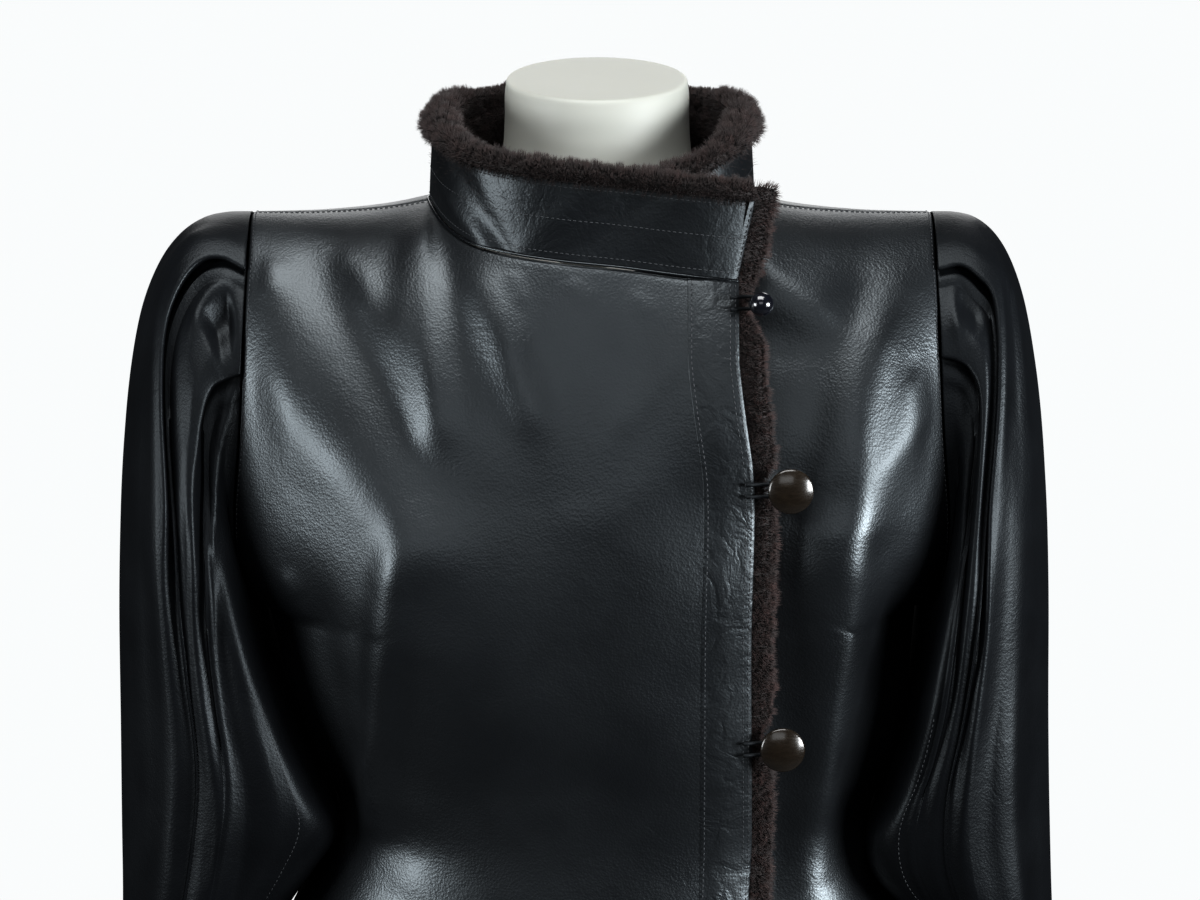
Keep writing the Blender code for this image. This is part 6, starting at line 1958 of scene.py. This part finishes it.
class COAT_OT_buttons(bpy.types.Operator):
    """Builds the ball, the horn buttons and their leather loops"""

    bl_idname = "coat.buttons"
    bl_label = "Buttons"

    def execute(self, context):
        colours = colours_of(context)
        horn = once("polished horn", horn_material, colours)
        glass = once("glass ball", ball_material, colours)
        for count, button in enumerate(BUTTONS):
            node = "ball_button" if count == 0 else f"button_{count}"
            back_of = BALL_RADIUS if count == 0 else DISC_BACK
            edge = edge_at(button.height)
            x = edge[0] + button.beyond
            reach = SHANK_RADIUS + LOOP_RADIUS + REST_GAP
            band = WALL / 2 + BAND_CLEAR + BAND_THICKNESS
            loop_y = edge[1] - band - 3 * BAND_CLEAR - LOOP_RADIUS
            start = edge[0] - LOOP_GRIP
            start_y = face_depth(-1, start, button.height, 2 * reach) - band - BAND_CLEAR - LOOP_RADIUS
            start_y = min(start_y, loop_y)
            y = loop_y - LOOP_RADIUS - 2 * REST_GAP - back_of
            shank = face_depth(1, x, button.height, 2 * SHANK_RADIUS) - y - SHANK_CLEAR
            profile = ball_profile(shank) if count == 0 else disc_profile(shank)
            spun = turned_points(profile, BUTTON_SIDES)
            points = np.stack([spun[..., 0] + x, y - spun[..., 2], spun[..., 1] + button.height], axis=-1)
            rows, columns = points.shape[:2]
            faces = capped_tube_faces(rows, columns, flip=True)
            material, slot_name = (glass, "ball") if count == 0 else (horn, "horn")
            piece = new_piece(f"{node}_polished", points.reshape(-1, 3), faces, material, slot_name)
            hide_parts(node)

            turns = np.linspace(-np.pi / 2, np.pi / 2, LOOP_TURNS)
            height = button.height
            bend = [(x + reach * np.cos(turn), loop_y, height + reach * np.sin(turn)) for turn in turns]
            over_edge = edge[0] + LOOP_GRIP
            lower = [(start, start_y, height - reach), (over_edge, loop_y, height - reach)]
            upper = [(over_edge, loop_y, height + reach), (start, start_y, height + reach)]
            path = smooth_path(lower + bend + upper, 3)
            ring = tube(path, LOOP_RADIUS, CORD_SIDES).reshape(-1, 3)
            faces = capped_tube_faces(len(path), CORD_SIDES, flip=True)
            loop = new_piece(f"loop_{count}_leather", ring, faces, leather(context, "cord"), "leather")
            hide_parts(f"loop_{count}")
        return {"FINISHED"}


def middle_line(grid, out, lift, upright=True):
    """The middle column or row of a narrow grid, lifted off it, and the ways out of the cloth along it."""
    points, ways = (grid[:, 1], out[:, 1]) if upright else (grid[1], out[1])
    return points + ways * lift, ways


def front_line(side, columns, levels, lift, upright=True):
    """A line on a front, along the middle one of three columns or of three rows."""
    grid = front_piece(side, columns, levels, RIGHT_CREASES if side < 0 else LEFT_CREASES)
    return middle_line(grid, grid_normals(grid) * side, lift, upright)


def back_line(columns, levels, lift, upright=True, which=slice(None)):
    """A line on the back, from which of the columns: they lie evenly to both sides of the middle."""
    grid = back_piece(columns, levels, BACK_CREASES)[:, which]
    return middle_line(grid, -grid_normals(grid), lift, upright)


def collar_line(heights, columns, lift, upright):
    """A line on the collar, along the middle one of three heights or of three stations."""
    grid = collar_points(COLLAR_STATIONS, [(share, 0.0) for share in heights])[:, columns]
    out = -grid_normals(grid)
    return middle_line(grid + out * collar_creases(grid)[..., None], out, lift, upright)


class COAT_OT_stitches(bpy.types.Operator):
    """Sews the topstitching of the front edge, the armholes and the shoulders, and of the hem"""

    bl_idname = "coat.stitches"
    bl_label = "Stitches"

    def execute(self, context):
        sizes = sizes_of(context)
        thread = once("sewing thread", thread_material, colours_of(context))
        face = WALL / 2
        band_face = face + BAND_CLEAR + BAND_THICKNESS
        levels = FRONT_STITCH_LEVELS
        front = []
        rows = [(distance, band_face) for distance in BAND_ROWS]
        for distance, lift in (*rows, (PANEL_ROW, face + PANEL_ROW_LIFT)):
            three = (distance - STITCH_SPREAD, distance, distance + STITCH_SPREAD)
            shares = np.array(band_shares(levels, three)).T
            front.append(stitches(*front_line(-1, shares, levels, lift), sizes))

        seams = []
        for side in (-1, 1):
            shares = np.broadcast_to(ARMHOLE_SHARES, (len(ARM_LEVELS), 3))
            seams.append(stitches(*front_line(side, shares, ARM_LEVELS, face), sizes))
            across = np.linspace(front_neck_share(side) + 0.01, SEWN_SHOULDER, 90)
            seams.append(stitches(*front_line(side, across, SHOULDER_LEVELS, face, False), sizes))
        back = []
        both = np.concatenate([0.5 - ARMHOLE_SHARES[::-1] / 2, [0.5], 0.5 + ARMHOLE_SHARES / 2])
        for which in (slice(0, 3), slice(4, 7)):
            back.append(stitches(*back_line(both, ARM_LEVELS, face, which=which), sizes))

        hem = []
        for side, first in ((-1, 0.13), (1, 0.02)):
            across = np.linspace(first, SEWN_SHOULDER, 200)
            hem.append(stitches(*front_line(side, across, HEM_LEVELS, face, False), sizes))
        hem.append(stitches(*back_line(np.linspace(0.01, 0.99, 401), HEM_LEVELS, face, False), sizes))
        groups = {"front_stitches": front, "seam_stitches": seams, "back_stitches": back, "hem_stitches": hem}
        for name, parts in groups.items():
            new_piece(name, *joined(parts), thread, "leather")
        return {"FINISHED"}


class COAT_OT_sleeve_stitches(bpy.types.Operator):
    """Sews the cuffs and the seams of both sleeves"""

    bl_idname = "coat.sleeve_stitches"
    bl_label = "Sleeve stitches"

    def execute(self, context):
        sizes = sizes_of(context)
        thread = once("sewing thread", thread_material, colours_of(context))
        parts = []
        for side in (-1, 1):
            pleats = RIGHT_PLEATS if side < 0 else LEFT_PLEATS
            creases = RIGHT_SLEEVE_CREASES if side < 0 else LEFT_SLEEVE_CREASES
            for rows in (CUFF_STITCH_RINGS, SEAM_STITCH_RINGS):
                grid = sleeve_piece(side, rows, SLEEVE_COUNTS, pleats, creases)
                out = grid_normals(grid, closed=True)
                out = out * np.sign(((grid - grid.mean(axis=1, keepdims=True)) * out).sum(axis=-1).mean())
                if rows is CUFF_STITCH_RINGS:
                    path = np.concatenate([grid[1], grid[1, :1]])
                    ways = np.concatenate([out[1], out[1, :1]])
                else:
                    first = sum(SLEEVE_COUNTS[:4])
                    labels = sleeve_places(pleats, rows, SLEEVE_COUNTS)[0][:, first : first + 2]
                    column = first + (SEAM_DEGREES - labels[:, 0]) / (labels[:, 1] - labels[:, 0])
                    low = column.astype(int)
                    share = (column - low)[:, None]
                    row = np.arange(len(rows))
                    path = grid[row, low] * (1 - share) + grid[row, low + 1] * share
                    ways = out[row, low]
                parts.append(stitches(path + ways * WALL / 2, ways, sizes))
        new_piece("sleeve_stitches", *joined(parts), thread, "leather")
        return {"FINISHED"}


class COAT_OT_collar_stitches(bpy.types.Operator):
    """Sews the rows along the collar and its front end"""

    bl_idname = "coat.collar_stitches"
    bl_label = "Collar stitches"

    def execute(self, context):
        sizes = sizes_of(context)
        thread = once("sewing thread", thread_material, colours_of(context))
        shown = collar_shown(collar_frame(COLLAR_STATIONS)[0])
        parts = []
        for share in COLLAR_ROWS:
            three = (share - COLLAR_ROW_SPREAD, share, share + COLLAR_ROW_SPREAD)
            line = collar_line(three, slice(2, shown), WALL / 2, False)
            parts.append(stitches(*line, sizes))
        parts.append(stitches(*collar_line(COLLAR_END_ROW, slice(0, 3), WALL / 2, True), sizes))
        new_piece("collar_stitches", *joined(parts), thread, "leather")
        return {"FINISHED"}


class COAT_OT_form(bpy.types.Operator):
    """Builds the dress form: a smooth torso, and a neck with its flat tilted cap"""

    bl_idname = "coat.form"
    bl_label = "Dress form"

    def execute(self, context):
        satin = once("satin white form", satin_material, colours_of(context))
        sides = ROUND_SIDES
        around = 2 * np.pi * np.arange(sides) / sides
        turn = around - np.pi
        rings = []
        for height in TORSO_HEIGHTS:
            names = ("half_width", "front", "back", "square")
            width, front, back, square = (look_up(FORM, "height", name, height) for name in names)
            x = width * signed_power(np.cos(turn), 2 / square)
            depth = np.where(np.sin(turn) < 0, front, back)
            y = depth * signed_power(np.sin(turn), 2 / square)
            rings.append(np.stack([x, y, np.full(sides, height)], axis=1))
        last = FORM[-1]
        for over in TORSO_TURNS:
            x = FORM_SHOULDER_X * np.cos(turn)
            depth = np.where(np.sin(turn) < 0, last.front, last.back)
            ridge = look_up(RIDGE, "x", "height", np.maximum(np.abs(x), NECK_X)) - WALL / 2 - FORM_CLEAR
            z = last.height + (ridge - last.height) * np.sin(over)
            rings.append(np.stack([x, depth * np.sin(turn) * np.cos(over), z], axis=1))
        faces = capped_tube_faces(len(rings), sides)
        torso = new_piece("form_body", np.concatenate(rings), faces, satin, "satin")
        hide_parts("form_torso")

        profile = [(look_up(NECK_PROFILE, "height", "x", height), height) for height in NECK_HEIGHTS]
        rings = []
        for radius, height in (*profile, *CAP):
            tilt = np.tan(NECK_TILT) * rise_between(height, NECK_TILTS)
            x = NECK_MIDDLE_X + radius * np.cos(around)
            y = radius * np.sin(around)
            rings.append(np.stack([x, y, height + y * tilt], axis=1))
        faces = capped_tube_faces(len(rings), sides)
        new_piece("form_neck", np.concatenate(rings), faces, satin, "satin")
        return {"FINISHED"}


def turned_piece(name, corners, reach, sides, material):
    """A steel piece turned round the Z axis, from the corners of its profile, each rounded within reach."""
    profile = rounded_profile(corners, reach)
    faces = capped_tube_faces(len(profile), sides, flip=True)
    return new_piece(name, turned_points(profile, sides).reshape(-1, 3), faces, material, "steel")


class COAT_OT_stand(bpy.types.Operator):
    """Builds the pole with its foot collar, and the round base"""

    bl_idname = "coat.stand"
    bl_label = "Stand"

    def execute(self, context):
        steel = once("satin paint on steel", steel_material, colours_of(context))
        bottom, top = BASE_THICKNESS + REST_GAP, FORM_BOTTOM - REST_GAP
        foot, foot_top = POLE_RADIUS + FOOT_WIDER, bottom + FOOT_HEIGHT
        corners = [
            (TINY, top),
            (POLE_RADIUS, top),
            (POLE_RADIUS, foot_top),
            (foot, foot_top - FOOT_SLOPE),
            (foot, bottom),
            (TINY, bottom),
        ]
        pole = turned_piece("pole_steel", corners, POLE_ROUNDING, POLE_SIDES, steel)
        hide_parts("stand_pole")
        corners = [(TINY, BASE_THICKNESS), *BASE_EDGE, (TINY, 0.0)]
        base = turned_piece("base_steel", corners, BASE_ROUNDING, ROUND_SIDES, steel)
        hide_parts("stand_base")
        return {"FINISHED"}


OPERATORS = (
    COAT_OT_stage,
    COAT_OT_fronts,
    COAT_OT_back,
    COAT_OT_sleeves,
    COAT_OT_collar,
    COAT_OT_collar_fur,
    COAT_OT_front_fur,
    COAT_OT_buttons,
    COAT_OT_stitches,
    COAT_OT_sleeve_stitches,
    COAT_OT_collar_stitches,
    COAT_OT_form,
    COAT_OT_stand,
)


class COAT_PT_panel(bpy.types.Panel):
    """Lists the coat's pieces, sizes and colours"""

    bl_idname = "COAT_PT_panel"
    bl_label = "Leather coat"
    bl_space_type = "VIEW_3D"
    bl_region_type = "UI"
    bl_category = "Coat"

    def draw(self, context):
        for owner, kind in ((sizes_of(context), CoatSizes), (colours_of(context), CoatColours)):
            box = self.layout.box()
            for name in kind.__annotations__:
                box.prop(owner, name)
        for operator in OPERATORS:
            self.layout.operator(operator.bl_idname)


CLASSES = (CoatSizes, CoatColours, *OPERATORS, COAT_PT_panel)


def register():
    for kind in CLASSES:
        bpy.utils.register_class(kind)
    bpy.types.Scene.coat_sizes = PointerProperty(type=CoatSizes)
    bpy.types.Scene.coat_colours = PointerProperty(type=CoatColours)


def unregister():
    del bpy.types.Scene.coat_sizes
    del bpy.types.Scene.coat_colours
    for kind in reversed(CLASSES):
        bpy.utils.unregister_class(kind)


def plain(box):
    """A box as lists of plain numbers."""
    return [[float(value) for value in corner] for corner in box]


def main():
    register()
    for operator in OPERATORS:
        group, name = operator.bl_idname.split(".")
        getattr(getattr(bpy.ops, group), name)()


if __name__ == "__main__":
    main()
